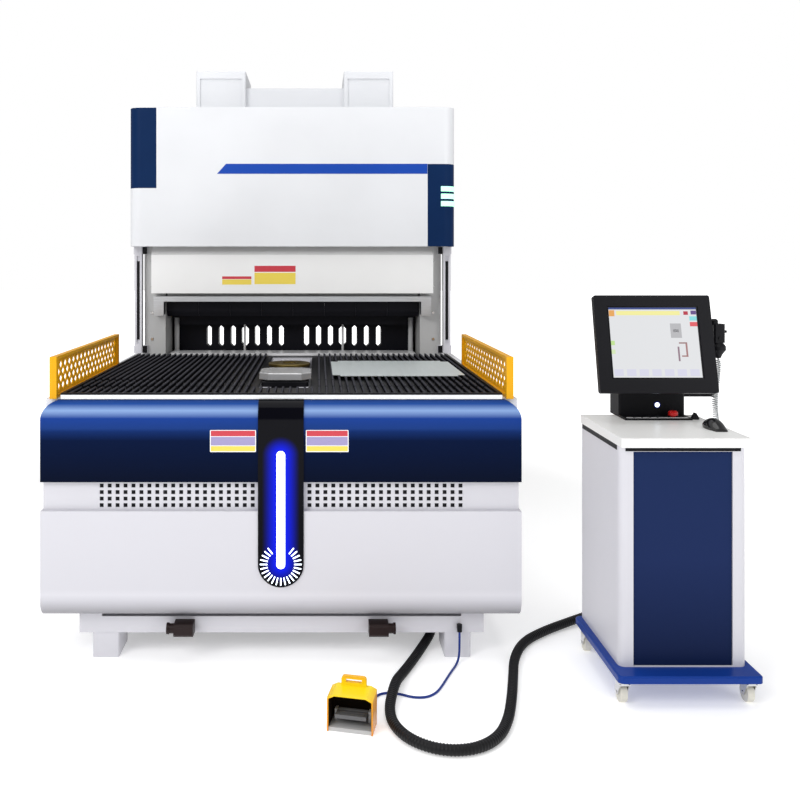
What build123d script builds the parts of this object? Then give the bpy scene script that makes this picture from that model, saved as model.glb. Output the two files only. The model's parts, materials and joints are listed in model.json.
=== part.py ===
"""Compact panel bender with its operator console, foot pedal and cords, in millimetres.

X runs to the operator's right, Y from the operator into the machine and Z up.
The origin is on the floor, at the centre of the four feet of the press.
"""
from build123d import *
from math import atan2, cos, degrees, pi, radians, sin, tan
import os

# Press stance
press_depth = 2500
body_half_width = 843
table_height = 950
foot_height = 91
ring_height = 58
ring_tube = 100
plinth_margin = 120
plinth_half_width = body_half_width - plinth_margin
plinth_inset = 70
foot_width = 94
foot_length = 150
foot_side_inset = 93
foot_end_inset = 150
foot_x = plinth_half_width - foot_side_inset
foot_y = press_depth / 2 - foot_end_inset
anchor_radius = 11
anchor_depth = 60
post_size = 80
sheet = 3
running_gap = 0.3
seam = 0.5

# Front covers
panel_bottom = 165
band_bottom = 543
fascia_bottom = 645
fascia_radius = 65
panel_radius = 65
band_recess = 20
band_end_inset = 6
hole_size = 14
hole_pitch = 28
hole_columns = 20
hole_rows = 4
hole_row_pitch = 23
hole_first_x = 100
light_panel_width = 160
light_panel_skin = 5
light_panel_end = 359
light_bar_width = 30
light_bar_top = 755
light_bar_skin = 2
tick_inner = 47
tick_outer = 73
tick_width = 4
ticks_per_side = 11
tick_step = 12.9

# Table
apron_margin = 58
apron_half_width = body_half_width - apron_margin
apron_height = 22
apron_wall = 12
table_front = 50
table_rear = 1440
carrier_thickness = 6
brush_width = 13
brush_pitch = 27
brush_field_front = 440
brush_row_gap = 30
brush_rows = 2
slot_half_width = 100
slot_front = 300
table_rail_height = 78
slide_rail_width = 38
slide_rail_height = 56

# Manipulator
carriage_half_width = 92
carriage_front = 365
carriage_rear = 1060
carriage_thickness = 18
tongue_depth = 30
disc_radius = 95
disc_y = 941
disc_thickness = 12
hub_radius = 30
hub_depth = 12
block_width = 206
block_length = 202
block_front = 385
block_height = 26
block_corner = 38
block_lift = 6
block_hole_radius = 14
block_hole_x = 62
block_hole_depth = 10

# Sheet blank on the brushes
blank_x = (190, 735)
blank_y = (522, 1084)
blank_thickness = 1.2
blank_notch = 32

# Side guards
guard_margin = 29
guard_x = body_half_width - guard_margin
guard_front = 55
guard_rear = 1075
guard_height = 150
guard_frame = 22
guard_post = 25
guard_skin = 4
guard_columns = 16
guard_rows = 4

# Press frame
column_margin = 81
column_thickness = 108
column_inner = body_half_width - column_margin - column_thickness
column_front = 1480
column_rear_inset = 200
column_rear = press_depth - column_rear_inset
head_top = 2191
column_corner = 90
crown_bottom = 1930
crown_rear_inset = 260
crown_y = (1560, press_depth - crown_rear_inset)
bed_y = (1490, 1600)
bed_bottom = 300
lower_tool_height = 48
lower_tool_gap = 26
lower_tool_half_width = column_inner - lower_tool_gap
lower_tool_lip = 1445
lip_thickness = 12

# Ram
ram_gap = 8
ram_half_width = column_inner - ram_gap
ram_rear_inset = 380
ram_y = (1485, press_depth - ram_rear_inset)
ram_nose_rear = 1590
ram_nose_bottom = 1241
ram_bottom = 1480
ram_top = 1880
ram_wall = 40
ram_gusset = 20
ram_pockets = 4
guide_width = 60
guide_depth = 18
guide_rear_inset = 160
guide_y = (1640, ram_y[1] - guide_rear_inset)
guide_z = (1300, 1900)
rod_radius = 35
rod_x = 413
rod_rear_inset = 490
rod_y = press_depth - rod_rear_inset
rod_top = 2200
actuator_radius = 90
actuator_flange = 125
actuator_flange_height = 15
actuator_top = 2440
cover_overhang = 58
cover_half_width = column_inner + cover_overhang
cover_y = 1395
cover_bottom = 1258
cover_bevel = (1451, 1497)
cover_setback = 45
cover_top = 1690
rail_overhang = 51
rail_half_width = column_inner + rail_overhang
rail_front = 1420
rail_rear_end = 1475
rail_thickness = 26
end_block_bottom = 1143
tool_bottom = 1135
tool_gap = 4
tool_half_width = column_inner - tool_gap
tool_count = 8
tool_front = 1500
tool_nose = 1600

# Bending unit
web_y = (1700, 1760)
web_z = (760, 1180)
arm_front = 1640
arm_height = (90, 60)
blade_frame_inset = 7
blade_front = 1615
blade_gap = 54
blade_half_width = column_inner - blade_gap
upper_blade_tip = 1085
lower_blade_tip = 935
blade_root = 70
window_z = (961, 1075)
window_width = 26
bold_window_width = 38
window_first = 68
window_pitch = 64.7
windows_per_side = 7
bold_window = 3
thin_rod_radius = 5
side_rod_radius = 12
side_rod_gap = 29
side_rod_x = column_inner - side_rod_gap
saddle_rear = 1900
saddle_post_width = 48
saddle_z = (560, 1250)
saddle_beam_height = 180

# Head covers
head_margin = 25
head_half_width = body_half_width - head_margin
head_front = 1350
head_rear_inset = 50
head_rear = press_depth - head_rear_inset
head_bottom = 1494
head_radius = 60
corner_panel_width = 140
corner_panel_depth = 260
left_seam = 1786
right_seam = 1906
lamp_levels = (1782, 1745, 1708)
lamp_height = 25
lamp_wrap = 73
lamp_start = head_half_width - lamp_wrap
lamp_skin = 3
tower_x = (275, 552)
tower_rear_inset = 160
tower_reach = 120
tower_y = (rod_y - tower_reach, head_rear - tower_rear_inset)
tower_height = 296
tower_top = head_top + tower_height
tower_edge = 5
tower_panel_margin = 22
tower_panel_depth = 8
bridge_height = 204
bridge_top = head_top + bridge_height
bridge_inset = 35
bridge_y = (tower_y[0] + bridge_inset, tower_y[1] - bridge_inset)

# Light-curtain posts
post_gap = 6
post_width = 40
post_x = (column_inner + column_thickness + post_gap, column_inner + column_thickness + post_gap + post_width)
post_y = (1446, 1476)
post_wall_slot = 16
post_slot_depth = 8
bracket_height = 38
bracket_margin = 5
bracket_reach = 24

# Lifting lugs
lug_x = (310, 379)
lug_z = (95, 139)
lug_depth = 58
bollard_radius = 17
bollard_end = 404

# Rear cover
rear_cover_top = 880

# Foot pedal
pedal_centre = (234, -410)
pedal_yaw = -13
pedal_width = 140
pedal_depth = 80
pedal_front_height = 111
pedal_rear_height = 113
pedal_shoulder = (18, 9)
pedal_wall = 4
pedal_base_height = 12
treadle_width = 96
treadle_length = 52
treadle_thickness = 11
treadle_axis_height = 36
treadle_slope = 8
treadle_grooves = 3
treadle_groove_pitch = 11
treadle_pin_radius = 5
cheek_width = 8
cheek_length = 22
grip_width = 78
grip_height = 30
grip_thickness = 14
grip_slot = (50, 10)

# Console
console_x = 1312
tray_half_width = 230
tray_y = (-307, 190)
tray_z = (82, 105)
tray_corner = 18
cabinet_half_width = 207
cabinet_y = (-237, 174)
cabinet_top = 821
cabinet_post_width = 46
cabinet_radius = 22
front_panel_top = 801
front_panel_inset = 6
front_panel_thickness = 18
desk_half_width = 210
desk_y = (-270, 184)
desk_thickness = 30
desk_radius = 5
stand_x = 35
stand_half_width = 120
stand_y = (130, 230)
stand_height = 106
stand_plate_y = 62
stand_plate_height = 7
neck_half_width = 40
neck_depth = 40
ear_thickness = 15
tilt_axis = (150, 1127)
tilt_pin_radius = 10
tilt_lug_radius = 15
neck_gap = 2
monitor_x = 15
monitor_width = 417
monitor_height = 350
monitor_thickness = 46
monitor_bottom = 957
monitor_front = 0
monitor_lean = 14
monitor_radius = 8
monitor_rim = 24
monitor_back_inset = 16
screen_width = 325
screen_height = 260
screen_recess = 3
screen_thickness = 2
screen_lift = 50
estop_x = 98
estop_y = 95
estop_radius = 17
estop_height = 16
estop_stem_radius = 9
estop_travel = 5
estop_seat_floor = 1
power_x = 53
power_z = 896
power_radius = 12
selector_x = 174
selector_y = 88
selector_radius = 15
selector_height = 20
selector_skirt = 4
mouse_place = (191, -105)
mouse_size = (62, 108, 34)
holder_z = 928
holder_radius = 7
handset_x = 268
handset_y = 112
handset_z = (1068, 1219)
socket_z = (700, 760)

# Casters
wheel_radius = 30
wheel_width = 22
caster_trail = 24
caster_x = 203
caster_y = (-270, 110)
axle_radius = 5
fork_wall = 4
fork_gap = 2
swivel_radius = 17

# Cable glands
plinth_gland_radius = 9
pedal_gland_radius = 7
pedal_gland_length = 16
pedal_gland_x = 44

# Cords
hose_diameter = 34
cable_diameter = 8
curl_diameter = 22


# Frame offsets: depth is counted from the front plane of the covers
front = -press_depth / 2


def depth(value):
    return front + value


def block(x, y, z):
    """Rectangular solid from three (low, high) pairs, with y as depth behind the front plane."""
    size = (x[1] - x[0], y[1] - y[0], z[1] - z[0])
    middle = ((x[0] + x[1]) / 2, depth((y[0] + y[1]) / 2), (z[0] + z[1]) / 2)
    return Pos(*middle) * Box(*size)


def side_profile(points, x):
    """Outline in depth and height, extruded along X."""
    outline = Polyline(*[(x[0], depth(y), z) for y, z in points], close=True)
    return extrude(make_face(outline), amount=x[1] - x[0], dir=(1, 0, 0))


def front_profile(points, y):
    """Outline in X and height, extruded backwards from depth y[0] to y[1]."""
    outline = Polyline(*[(x, depth(y[0]), z) for x, z in points], close=True)
    return extrude(make_face(outline), amount=y[1] - y[0], dir=(0, 1, 0))


def plan_profile(points, z):
    """Outline in X and depth, extruded upwards."""
    outline = Polyline(*[(x, depth(y), z[0]) for x, y in points], close=True)
    return extrude(make_face(outline), amount=z[1] - z[0], dir=(0, 0, 1))


def upright(radius, x, y, z):
    """Vertical cylinder between two heights."""
    return Pos(x, depth(y), (z[0] + z[1]) / 2) * Cylinder(radius, z[1] - z[0])


def lying(radius, x, y, z):
    """Cylinder along X between two places."""
    return Pos((x[0] + x[1]) / 2, depth(y), z) * Rot(0, 90, 0) * Cylinder(radius, x[1] - x[0])


def mirrored(shape):
    return mirror(shape, about=Plane.YZ)


def both(shape):
    """The shape and its mirror image across the centre plane, as two solids."""
    return Compound(children=[*shape.solids(), *mirrored(shape).solids()])


def group(shapes):
    """Separate solids kept together in one node."""
    solids = []
    for shape in shapes:
        solids.extend(shape.solids())
    return Compound(children=solids)


ring_top = foot_height + ring_height
apron_bottom = table_height - apron_height
ring_front = plinth_inset
ring_rear = press_depth - plinth_inset
table_frame_rear = table_rear
slide_top = apron_bottom


def base_frame():
    """Weldment of square tubes, each one a solid that meets its neighbours face to face."""
    outer = plinth_half_width
    inner = outer - ring_tube
    post_inner = outer - post_size
    mid_rear = (ring_front + table_frame_rear) / 2
    mid_y = mid_rear - ring_tube
    base_z = (foot_height, ring_top)
    upper_z = (apron_bottom - table_rail_height, apron_bottom)
    rear_end = table_frame_rear - post_size
    members = [block((-inner, inner), (y, y + ring_tube), base_z)
               for y in (ring_front, mid_y, table_frame_rear - ring_tube, ring_rear - ring_tube)]
    for y in (ring_front, rear_end):
        members.append(block((-post_inner, post_inner), (y, y + post_size), upper_z))
    for side in (-1, 1):
        ring_x = sorted((side * inner, side * outer))
        post_x_side = sorted((side * post_inner, side * outer))
        members.append(block(ring_x, (ring_front, ring_rear), base_z))
        members.append(block(post_x_side, (ring_front, table_frame_rear), upper_z))
        for y in (ring_front, mid_y, rear_end):
            members.append(block(post_x_side, (y, y + post_size), (ring_top, upper_z[0])))
        members.append(block(post_x_side, (ring_rear - post_size, ring_rear), (ring_top, rear_cover_top - sheet)))
        slide_x = sorted((side * (carriage_half_width - slide_rail_width), side * carriage_half_width))
        members.append(block(slide_x, (ring_front + post_size, rear_end), (slide_top - slide_rail_height, slide_top)))
    members.append(block((junction_x - 40, outer), (mid_y - junction_depth, mid_y), junction_z))
    return group(members)


def support_feet():
    feet = []
    for x in (-foot_x, foot_x):
        for y in (-foot_y, foot_y):
            foot = Pos(x, y, foot_height / 2) * Box(foot_width, foot_length, foot_height)
            foot = chamfer(foot.edges().filter_by(Axis.Z), 4)
            anchor = Pos(x, y, anchor_depth / 2) * Cylinder(anchor_radius, anchor_depth)
            feet.append(foot - anchor)
    return group(feet)


def open_back_panel(z, radius_bottom, radius_top, end_radius):
    """Folded front cover: a closed front, rounded edges and flanges that reach back to the frame."""
    def core(inset):
        x = body_half_width - inset
        depth_front = inset
        solid = block((-x, x), (depth_front, plinth_inset), (z[0] + inset, z[1] - inset))
        front_edges = solid.edges().filter_by(Axis.X).group_by(Axis.Y)[0].sort_by(Axis.Z)
        if radius_bottom:
            solid = fillet(front_edges[0], radius_bottom - inset)
        if radius_top:
            solid = fillet(front_edges[-1], radius_top - inset)
        return solid

    def rounded(solid, inset):
        if not end_radius:
            return solid
        cutter = []
        reach = end_radius - inset
        for side in (-1, 1):
            x = side * (body_half_width - inset - reach)
            corner = block(sorted((x, side * (body_half_width + 1))), (-1, plinth_inset + 1),
                           (z[1] - inset - reach, z[1] + 1))
            round_end = Pos(x, depth(plinth_inset / 2), z[1] - inset - reach) * Rot(90, 0, 0)
            corner -= round_end * Cylinder(reach, plinth_inset + 4)
            cutter.append(corner)
        for piece in cutter:
            solid -= piece
        return solid

    shell = rounded(core(0), 0)
    cavity = rounded(core(sheet), sheet)
    cavity += Pos(0, sheet, 0) * cavity
    return shell - cavity


def lower_front_panel():
    return open_back_panel((panel_bottom, band_bottom), panel_radius, 0, 0)


def front_fascia():
    return open_back_panel((fascia_bottom, apron_bottom), 0, fascia_radius, fascia_radius)


def perforated_band():
    x = body_half_width - band_end_inset
    z = (band_bottom, fascia_bottom)
    band = block((-x, x), (band_recess, plinth_inset), z)
    band -= block((-x + sheet, x - sheet), (band_recess + sheet, plinth_inset + 1), (z[0] - 1, z[1] + 1))
    field_middle = hole_first_x + hole_pitch * (hole_columns - 1) / 2
    middle_z = (z[0] + z[1]) / 2
    for side in (-1, 1):
        place = Plane((side * field_middle, depth(band_recess), middle_z), x_dir=(1, 0, 0), z_dir=(0, -1, 0))
        grid = GridLocations(hole_pitch, hole_row_pitch, hole_columns, hole_rows)
        holes = Sketch() + [spot * Rectangle(hole_size, hole_size) for spot in grid]
        band -= extrude(place * holes, amount=sheet + 1, both=True)
    return band


def light_panel():
    half = light_panel_width / 2
    outer_radius = fascia_radius + light_panel_skin
    centre_z = apron_bottom - fascia_radius
    fascia_centre = (fascia_radius, centre_z)
    skin = block((-half, half), (-light_panel_skin, 0), (light_panel_end, centre_z))
    bend = lying(outer_radius, (-half, half), *fascia_centre) - lying(fascia_radius, (-half - 1, half + 1), *fascia_centre)
    bend &= block((-half, half), (-light_panel_skin - 1, fascia_radius), (centre_z, centre_z + outer_radius + 1))
    bend &= block((-half, half), (-light_panel_skin - 1, table_front - 6), (centre_z, centre_z + outer_radius + 1))
    end = Pos(0, depth(-light_panel_skin / 2), light_panel_end) * Rot(90, 0, 0)
    skin += end * Cylinder(half, light_panel_skin)
    return skin + bend


def light_bar():
    y = (-light_panel_skin - light_bar_skin, -light_panel_skin)
    half = light_bar_width / 2
    bar_bottom = light_panel_end - half
    bar = block((-half, half), y, (bar_bottom, light_bar_top))
    bar = fillet(bar.edges().filter_by(Axis.Y), half - 0.5)
    solids = [bar]
    tick_length = tick_outer - tick_inner
    tick_middle = (tick_inner + tick_outer) / 2
    for index in range(-ticks_per_side, ticks_per_side + 1):
        angle = -90 + index * tick_step
        tick = Box(tick_length, light_bar_skin, tick_width)
        tick = Pos(0, depth((y[0] + y[1]) / 2), light_panel_end) * Rot(0, -angle, 0) * Pos(tick_middle, 0, 0) * tick
        solids.append(tick)
    return group(solids)


def side_covers():
    x_out = body_half_width
    x_front = plinth_half_width
    x_rear = column_inner + column_thickness
    step_y = column_front - 10
    y = (plinth_inset, press_depth - plinth_inset)
    z = (panel_bottom, apron_bottom)
    outline = [(x_out, y[0]), (x_out, y[1]), (x_rear, y[1]), (x_rear, step_y), (x_front, step_y), (x_front, y[0])]
    pan = plan_profile(outline, z)
    hollow = block((x_rear - 1, x_out - sheet), (y[0] + sheet, y[1] - sheet), (z[0] + sheet, z[1] - sheet))
    hollow += block((x_front - 1, x_out - sheet), (y[0] + sheet, step_y - sheet), (z[0] + sheet, z[1] - sheet))
    return both(pan - hollow)


def rear_cover():
    x = body_half_width
    y = (press_depth - plinth_inset, press_depth)
    z = (panel_bottom, rear_cover_top)
    pan = block((-x, x), y, z)
    pan = chamfer(pan.edges().filter_by(Axis.Z).group_by(Axis.Y)[-1], 12)
    return pan - block((-x + sheet, x - sheet), (y[0] - 1, y[1] - sheet), (z[0] + sheet, z[1] - sheet))


def table_apron():
    z = (apron_bottom, table_height)
    outer = block((-apron_half_width, apron_half_width), (table_front, table_rear), z)
    inner_x = apron_half_width - apron_wall
    inner = block((-inner_x, inner_x), (table_front + apron_wall, table_rear + 1), (z[0] - 1, z[1] + 1))
    return outer - inner


def strip_row(y, middle_open):
    """Brush strips side by side between two depths, left out over the manipulator slot where it is open."""
    reach = apron_half_width - apron_wall - brush_width
    count = int(reach // brush_pitch)
    strips = []
    for index in range(-count, count + 1):
        x = index * brush_pitch
        if middle_open and abs(x) < slot_half_width + brush_width:
            continue
        strips.append(block((x - brush_width / 2, x + brush_width / 2), y,
                            (apron_bottom + carrier_thickness, table_height)))
    return strips


def table_plate():
    inner_x = apron_half_width - apron_wall
    y = (table_front + apron_wall, table_rear)
    plate = block((-inner_x, inner_x), y, (apron_bottom, apron_bottom + carrier_thickness))
    plate -= block((-slot_half_width, slot_half_width), (slot_front, table_rear + 1),
                   (apron_bottom - 1, table_height))
    return plate


def brush_strips():
    y = table_front + apron_wall
    row_length = (brush_field_front - y - brush_row_gap * brush_rows) / brush_rows
    solids = []
    for row in range(brush_rows):
        start = y + row * (row_length + brush_row_gap)
        solids.extend(strip_row((start, start + row_length), start + row_length > slot_front))
    solids.extend(strip_row((brush_field_front, table_rear), True))
    return group(solids)


carriage_bottom = slide_top + running_gap
carriage_top = carriage_bottom + carriage_thickness


def manipulator_carriage():
    x = carriage_half_width
    body = block((-x, x), (carriage_front, carriage_rear), (carriage_bottom, carriage_top))
    body = fillet(body.edges().filter_by(Axis.Z), 12)
    tongue_x = x - slide_rail_width - running_gap
    body += block((-tongue_x, tongue_x), (carriage_front + 40, carriage_rear - 40),
                  (carriage_bottom - tongue_depth, carriage_bottom))
    seat = (carriage_top - hub_depth - running_gap, carriage_top + 1)
    return body - upright(hub_radius + running_gap, 0, disc_y, seat)


def rotary_disc():
    bottom = carriage_top + running_gap
    disc = upright(disc_radius, 0, disc_y, (bottom, bottom + disc_thickness))
    disc = chamfer(disc.edges().filter_by(GeomType.CIRCLE).sort_by(Axis.Z)[-1], 2)
    hub = upright(hub_radius, 0, disc_y, (bottom - hub_depth, bottom))
    recess = upright(hub_radius, 0, disc_y, (bottom + disc_thickness - 3, bottom + disc_thickness + 1))
    return disc + hub - recess


def clamp_block():
    half = block_width / 2
    y = (block_front, block_front + block_length)
    c = block_corner
    outline = [(-half + c, y[0]), (half - c, y[0]), (half, y[0] + c), (half, y[1] - c),
               (half - c, y[1]), (-half + c, y[1]), (-half, y[1] - c), (-half, y[0] + c)]
    bottom = carriage_top + block_lift
    top = bottom + block_height
    body = plan_profile(outline, (bottom, top))
    body = chamfer(body.faces().sort_by(Axis.Z)[-1].edges(), 3)
    foot_x_half = carriage_half_width - 10
    body += block((-foot_x_half, foot_x_half), (y[0] + c, y[1] - c), (carriage_top, bottom))
    for x in (-block_hole_x, block_hole_x):
        body -= upright(block_hole_radius, x, y[1] - c, (top - block_hole_depth, top + 1))
    return body


def sheet_blank():
    n = blank_notch
    x = blank_x
    y = blank_y
    outline = [(x[0] + n, y[0]), (x[1] - n, y[0]), (x[1] - n, y[0] + n), (x[1], y[0] + n),
               (x[1], y[1] - n), (x[1] - n, y[1] - n), (x[1] - n, y[1]), (x[0] + n, y[1]),
               (x[0] + n, y[1] - n), (x[0], y[1] - n), (x[0], y[0] + n), (x[0] + n, y[0] + n)]
    return plan_profile(outline, (table_height, table_height + blank_thickness))


def side_guards():
    z = (apron_bottom, apron_bottom + guard_height)
    y = (guard_front, guard_rear)
    half_skin = guard_skin / 2
    frame_x = (guard_x - guard_frame / 2, guard_x + guard_frame / 2)
    frame = block(frame_x, y, z)
    frame -= block((frame_x[0] - 1, frame_x[1] + 1), (y[0] + guard_post, y[1] - guard_frame),
                   (z[0] + guard_frame / 2, z[1] - guard_frame / 2))
    frame += block((guard_x - guard_post / 2, guard_x + guard_post / 2), (y[0], y[0] + guard_post), z)
    field_y = (y[0] + guard_post, y[1] - guard_frame)
    field_z = (z[0] + guard_frame / 2, z[1] - guard_frame / 2)
    skin = block((guard_x - half_skin, guard_x + half_skin), field_y, field_z)
    pitch_y = (field_y[1] - field_y[0]) / (guard_columns + 1)
    pitch_z = (field_z[1] - field_z[0]) / (guard_rows + 1)
    half_y = pitch_y * 0.33
    half_z = pitch_z * 0.66
    middle = (guard_x, depth((field_y[0] + field_y[1]) / 2), (field_z[0] + field_z[1]) / 2)
    place = Plane(middle, x_dir=(0, 1, 0), z_dir=(1, 0, 0))
    diamond = make_face(Polyline((half_y, 0), (0, half_z), (-half_y, 0), (0, -half_z), close=True))
    spots = []
    for row in range(guard_rows):
        for column in range(guard_columns):
            shift = pitch_y / 4 if row % 2 else -pitch_y / 4
            across = (column - (guard_columns - 1) / 2) * pitch_y + shift
            height = (row - (guard_rows - 1) / 2) * pitch_z
            spots.append(Pos(across, height) * diamond)
    holes = Sketch() + spots
    skin -= extrude(place * holes, amount=guard_skin, both=True)
    return both(frame + skin)


def guide_rail(clearance):
    solids = []
    for y in guide_y:
        half = guide_width / 2 + clearance
        solids.append(block((column_inner - guide_depth - clearance, column_inner), (y - half, y + half), guide_z))
    return solids


def press_frame():
    """Two side plates, a crown, a bed and four ram guides, face to face as they are welded."""
    top = head_top - sheet
    plate = block((column_inner, column_inner + column_thickness), (column_front, column_rear), (ring_top, top))
    plate = fillet(plate.edges().filter_by(Axis.X).group_by(Axis.Y)[-1], column_corner)
    crown = block((-column_inner, column_inner), crown_y, (crown_bottom, top))
    for side_x in (-rod_x, rod_x):
        crown -= upright(actuator_radius + running_gap, side_x, rod_y, (crown_bottom - 1, top + 1))
    bed = block((-column_inner, column_inner), bed_y, (bed_bottom, table_height - lower_tool_height))
    guides = group(guide_rail(0))
    return group([plate, mirrored(plate), crown, bed, guides, mirrored(guides)])


def lower_tool():
    top = table_height
    seat = top - lower_tool_height
    outline = [(lower_tool_lip, top), (bed_y[1], top), (bed_y[1], top - 24), (bed_y[1] - 18, seat),
               (bed_y[0], seat), (bed_y[0], top - lip_thickness), (lower_tool_lip, top - lip_thickness)]
    return side_profile(outline, (-lower_tool_half_width, lower_tool_half_width))


def ram_beam():
    nose_z = ram_nose_bottom
    outline = [(ram_y[0], nose_z), (ram_nose_rear, nose_z), (ram_nose_rear, ram_bottom - ram_gusset),
               (ram_nose_rear + ram_gusset, ram_bottom), (ram_y[1], ram_bottom), (ram_y[1], ram_top),
               (ram_y[0], ram_top)]
    beam = side_profile(outline, (-ram_half_width, ram_half_width))
    bay = (2 * ram_half_width - ram_wall) / ram_pockets
    for index in range(ram_pockets):
        x = -ram_half_width + ram_wall + index * bay
        pocket_x = (x, x + bay - ram_wall)
        if index == 0:
            pocket_x = (x + guide_depth, pocket_x[1])
        if index == ram_pockets - 1:
            pocket_x = (x, pocket_x[1] - guide_depth)
        pocket = block(pocket_x, (ram_y[0] + ram_wall, ram_y[1] + 1), (ram_bottom + ram_wall, ram_top - ram_wall))
        beam -= pocket
    for rail in guide_rail(running_gap):
        beam -= rail + mirrored(rail)
    for x in (-rod_x, rod_x):
        beam += upright(rod_radius, x, rod_y, (ram_top - ram_wall, rod_top))
    return beam


def ram_actuators():
    body = upright(actuator_radius, rod_x, rod_y, (crown_bottom, actuator_top))
    f = actuator_flange
    body += block((rod_x - f, rod_x + f), (rod_y - f, rod_y + f),
                  (crown_bottom - actuator_flange_height, crown_bottom))
    bore_z = (crown_bottom - actuator_flange_height - 1, rod_top + 60)
    body -= upright(rod_radius + running_gap, rod_x, rod_y, bore_z)
    return both(body)


def ram_cover():
    y0 = cover_y
    y1 = cover_y + cover_setback
    back = column_front - 2
    outer = [(y0, cover_bottom), (y0, cover_bevel[0]), (y1, cover_bevel[1]), (y1, cover_top),
             (back, cover_top), (back, cover_bottom)]
    inner = [(y0 + sheet, cover_bottom + sheet), (y0 + sheet, cover_bevel[0]), (y1 + sheet, cover_bevel[1]),
             (y1 + sheet, cover_top - sheet), (back + 1, cover_top - sheet), (back + 1, cover_bottom + sheet)]
    shell = side_profile(outer, (-cover_half_width, cover_half_width))
    shell -= side_profile(inner, (-cover_half_width + sheet, cover_half_width - sheet))
    for z in ((cover_bottom, cover_bottom + sheet), (cover_top - sheet, cover_top)):
        shell += block((-ram_half_width + 20, ram_half_width - 20), (back - 1, ram_y[0]), z)
    return shell


def tool_rail():
    z = (ram_nose_bottom - rail_thickness, ram_nose_bottom)
    rail = block((-ram_half_width, ram_half_width), (rail_front, ram_nose_rear), z)
    rail += block((-rail_half_width, rail_half_width), (rail_front, rail_rear_end), z)
    end = block((column_inner, rail_half_width), (rail_front, rail_rear_end), (end_block_bottom, z[0]))
    end = chamfer(end.edges().filter_by(Axis.Y).group_by(Axis.Z)[0], 6)
    return rail + end + mirrored(end)


def upper_tools():
    pitch = 2 * tool_half_width / tool_count
    top = ram_nose_bottom - rail_thickness
    outline = [(tool_front, top), (tool_front, tool_bottom + 26), (tool_front + 26, tool_bottom),
               (tool_nose, tool_bottom), (tool_nose, tool_bottom + 12), (tool_nose - 40, tool_bottom + 45),
               (tool_nose - 40, top)]
    solids = []
    for index in range(tool_count):
        start = -tool_half_width + index * pitch
        solids.append(side_profile(outline, (start + seam / 2, start + pitch - seam / 2)))
    return group(solids)


def window(x, width):
    half = width / 2
    z = window_z
    points = [(x - half, z[0] + half), (x, z[0]), (x + half, z[0] + half),
              (x + half, z[1] - half), (x, z[1]), (x - half, z[1] - half)]
    return front_profile(points, (web_y[0] - 1, web_y[1] + 1))


saddle_half_width = column_inner - running_gap


def blade_frame():
    """Windowed web with an upper and a lower arm, joined by four rods."""
    z = web_z
    half = saddle_half_width - blade_frame_inset
    lower_top = z[0] + arm_height[0]
    upper_bottom = z[1] - arm_height[1]
    web = block((-half, half), web_y, z)
    for side in (-1, 1):
        for index in range(windows_per_side):
            width = bold_window_width if index == bold_window else window_width
            web -= window(side * (window_first + index * window_pitch), width)
    arm_y = (arm_front, web_y[0])
    solids = [web, block((-half, half), arm_y, (z[0], lower_top)), block((-half, half), arm_y, (upper_bottom, z[1]))]
    rod_place = (arm_front + web_y[0]) / 2
    bold_x = window_first + bold_window * window_pitch
    for side in (-1, 1):
        solids.append(upright(thin_rod_radius, side * bold_x, rod_place, (lower_top, upper_bottom)))
        solids.append(upright(side_rod_radius, side * side_rod_x, rod_place, (lower_top, upper_bottom)))
    return group(solids)


def bending_blades():
    y = (blade_front, arm_front)
    upper = [(y[0], upper_blade_tip), (y[0] + 5, upper_blade_tip), (y[1], upper_blade_tip + 30),
             (y[1], web_z[1]), (y[0] + 8, web_z[1]), (y[0], web_z[1] - 20)]
    base = web_z[0] + arm_height[0] - blade_root
    lower = [(y[0], lower_blade_tip), (y[0] + 5, lower_blade_tip), (y[1], lower_blade_tip - 60),
             (y[1], base), (y[0] + 8, base), (y[0], base + 20)]
    x = (-blade_half_width, blade_half_width)
    return group([side_profile(upper, x), side_profile(lower, x)])


def blade_saddle():
    y = (web_y[1] + running_gap, saddle_rear)
    inner = saddle_half_width - saddle_post_width
    post = [(y[0], saddle_z[0]), (y[0], saddle_z[1]), (y[0] + 60, saddle_z[1]),
            (y[1], saddle_z[1] - 120), (y[1], saddle_z[0])]
    right = side_profile(post, (inner, saddle_half_width))
    beam = block((-inner, inner), (y[0] + 40, y[1]), (saddle_z[0], saddle_z[0] + saddle_beam_height))
    return right + mirrored(right) + beam


def head_solid(grow, bottom_extra):
    """The head's rounded outline, grown or shrunk by a wall."""
    x = head_half_width + grow
    solid = block((-x, x), (head_front - grow, head_rear + grow), (head_bottom - bottom_extra, head_top))
    return fillet(solid.edges().filter_by(Axis.Z), head_radius + grow)


def corner_zone(side, z):
    x = (head_half_width - corner_panel_width, head_half_width + 10)
    zone = block(x, (head_front - 10, head_front + corner_panel_depth), z)
    return zone if side > 0 else mirrored(zone)


def head_shell():
    shell = head_solid(0, 0)
    cavity = head_solid(-sheet, 0)
    cavity = Pos(0, 0, -sheet) * cavity
    return shell - cavity


def head_cover():
    cover = head_shell()
    cover -= corner_zone(-1, (left_seam - seam, head_top - sheet))
    cover -= corner_zone(1, (head_bottom - 1, right_seam + seam))
    for x in (-rod_x, rod_x):
        cover -= upright(actuator_radius + 12, x, rod_y, (head_top - sheet - 1, head_top + 1))
    return cover


def corner_panels():
    inner = head_shell()
    left = inner & corner_zone(-1, (left_seam, head_top - sheet))
    right = inner & corner_zone(1, (head_bottom, right_seam))
    return group([trim_edges(left, -1), trim_edges(right, 1)])


def trim_edges(panel, side):
    """Leaves an even seam between a corner panel and the head cover round it."""
    x = (head_half_width - corner_panel_width + seam, head_half_width + 20)
    keep = block(x, (head_front - 20, head_front + corner_panel_depth - seam), (head_bottom, head_top))
    return panel & (keep if side > 0 else mirrored(keep))


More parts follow.
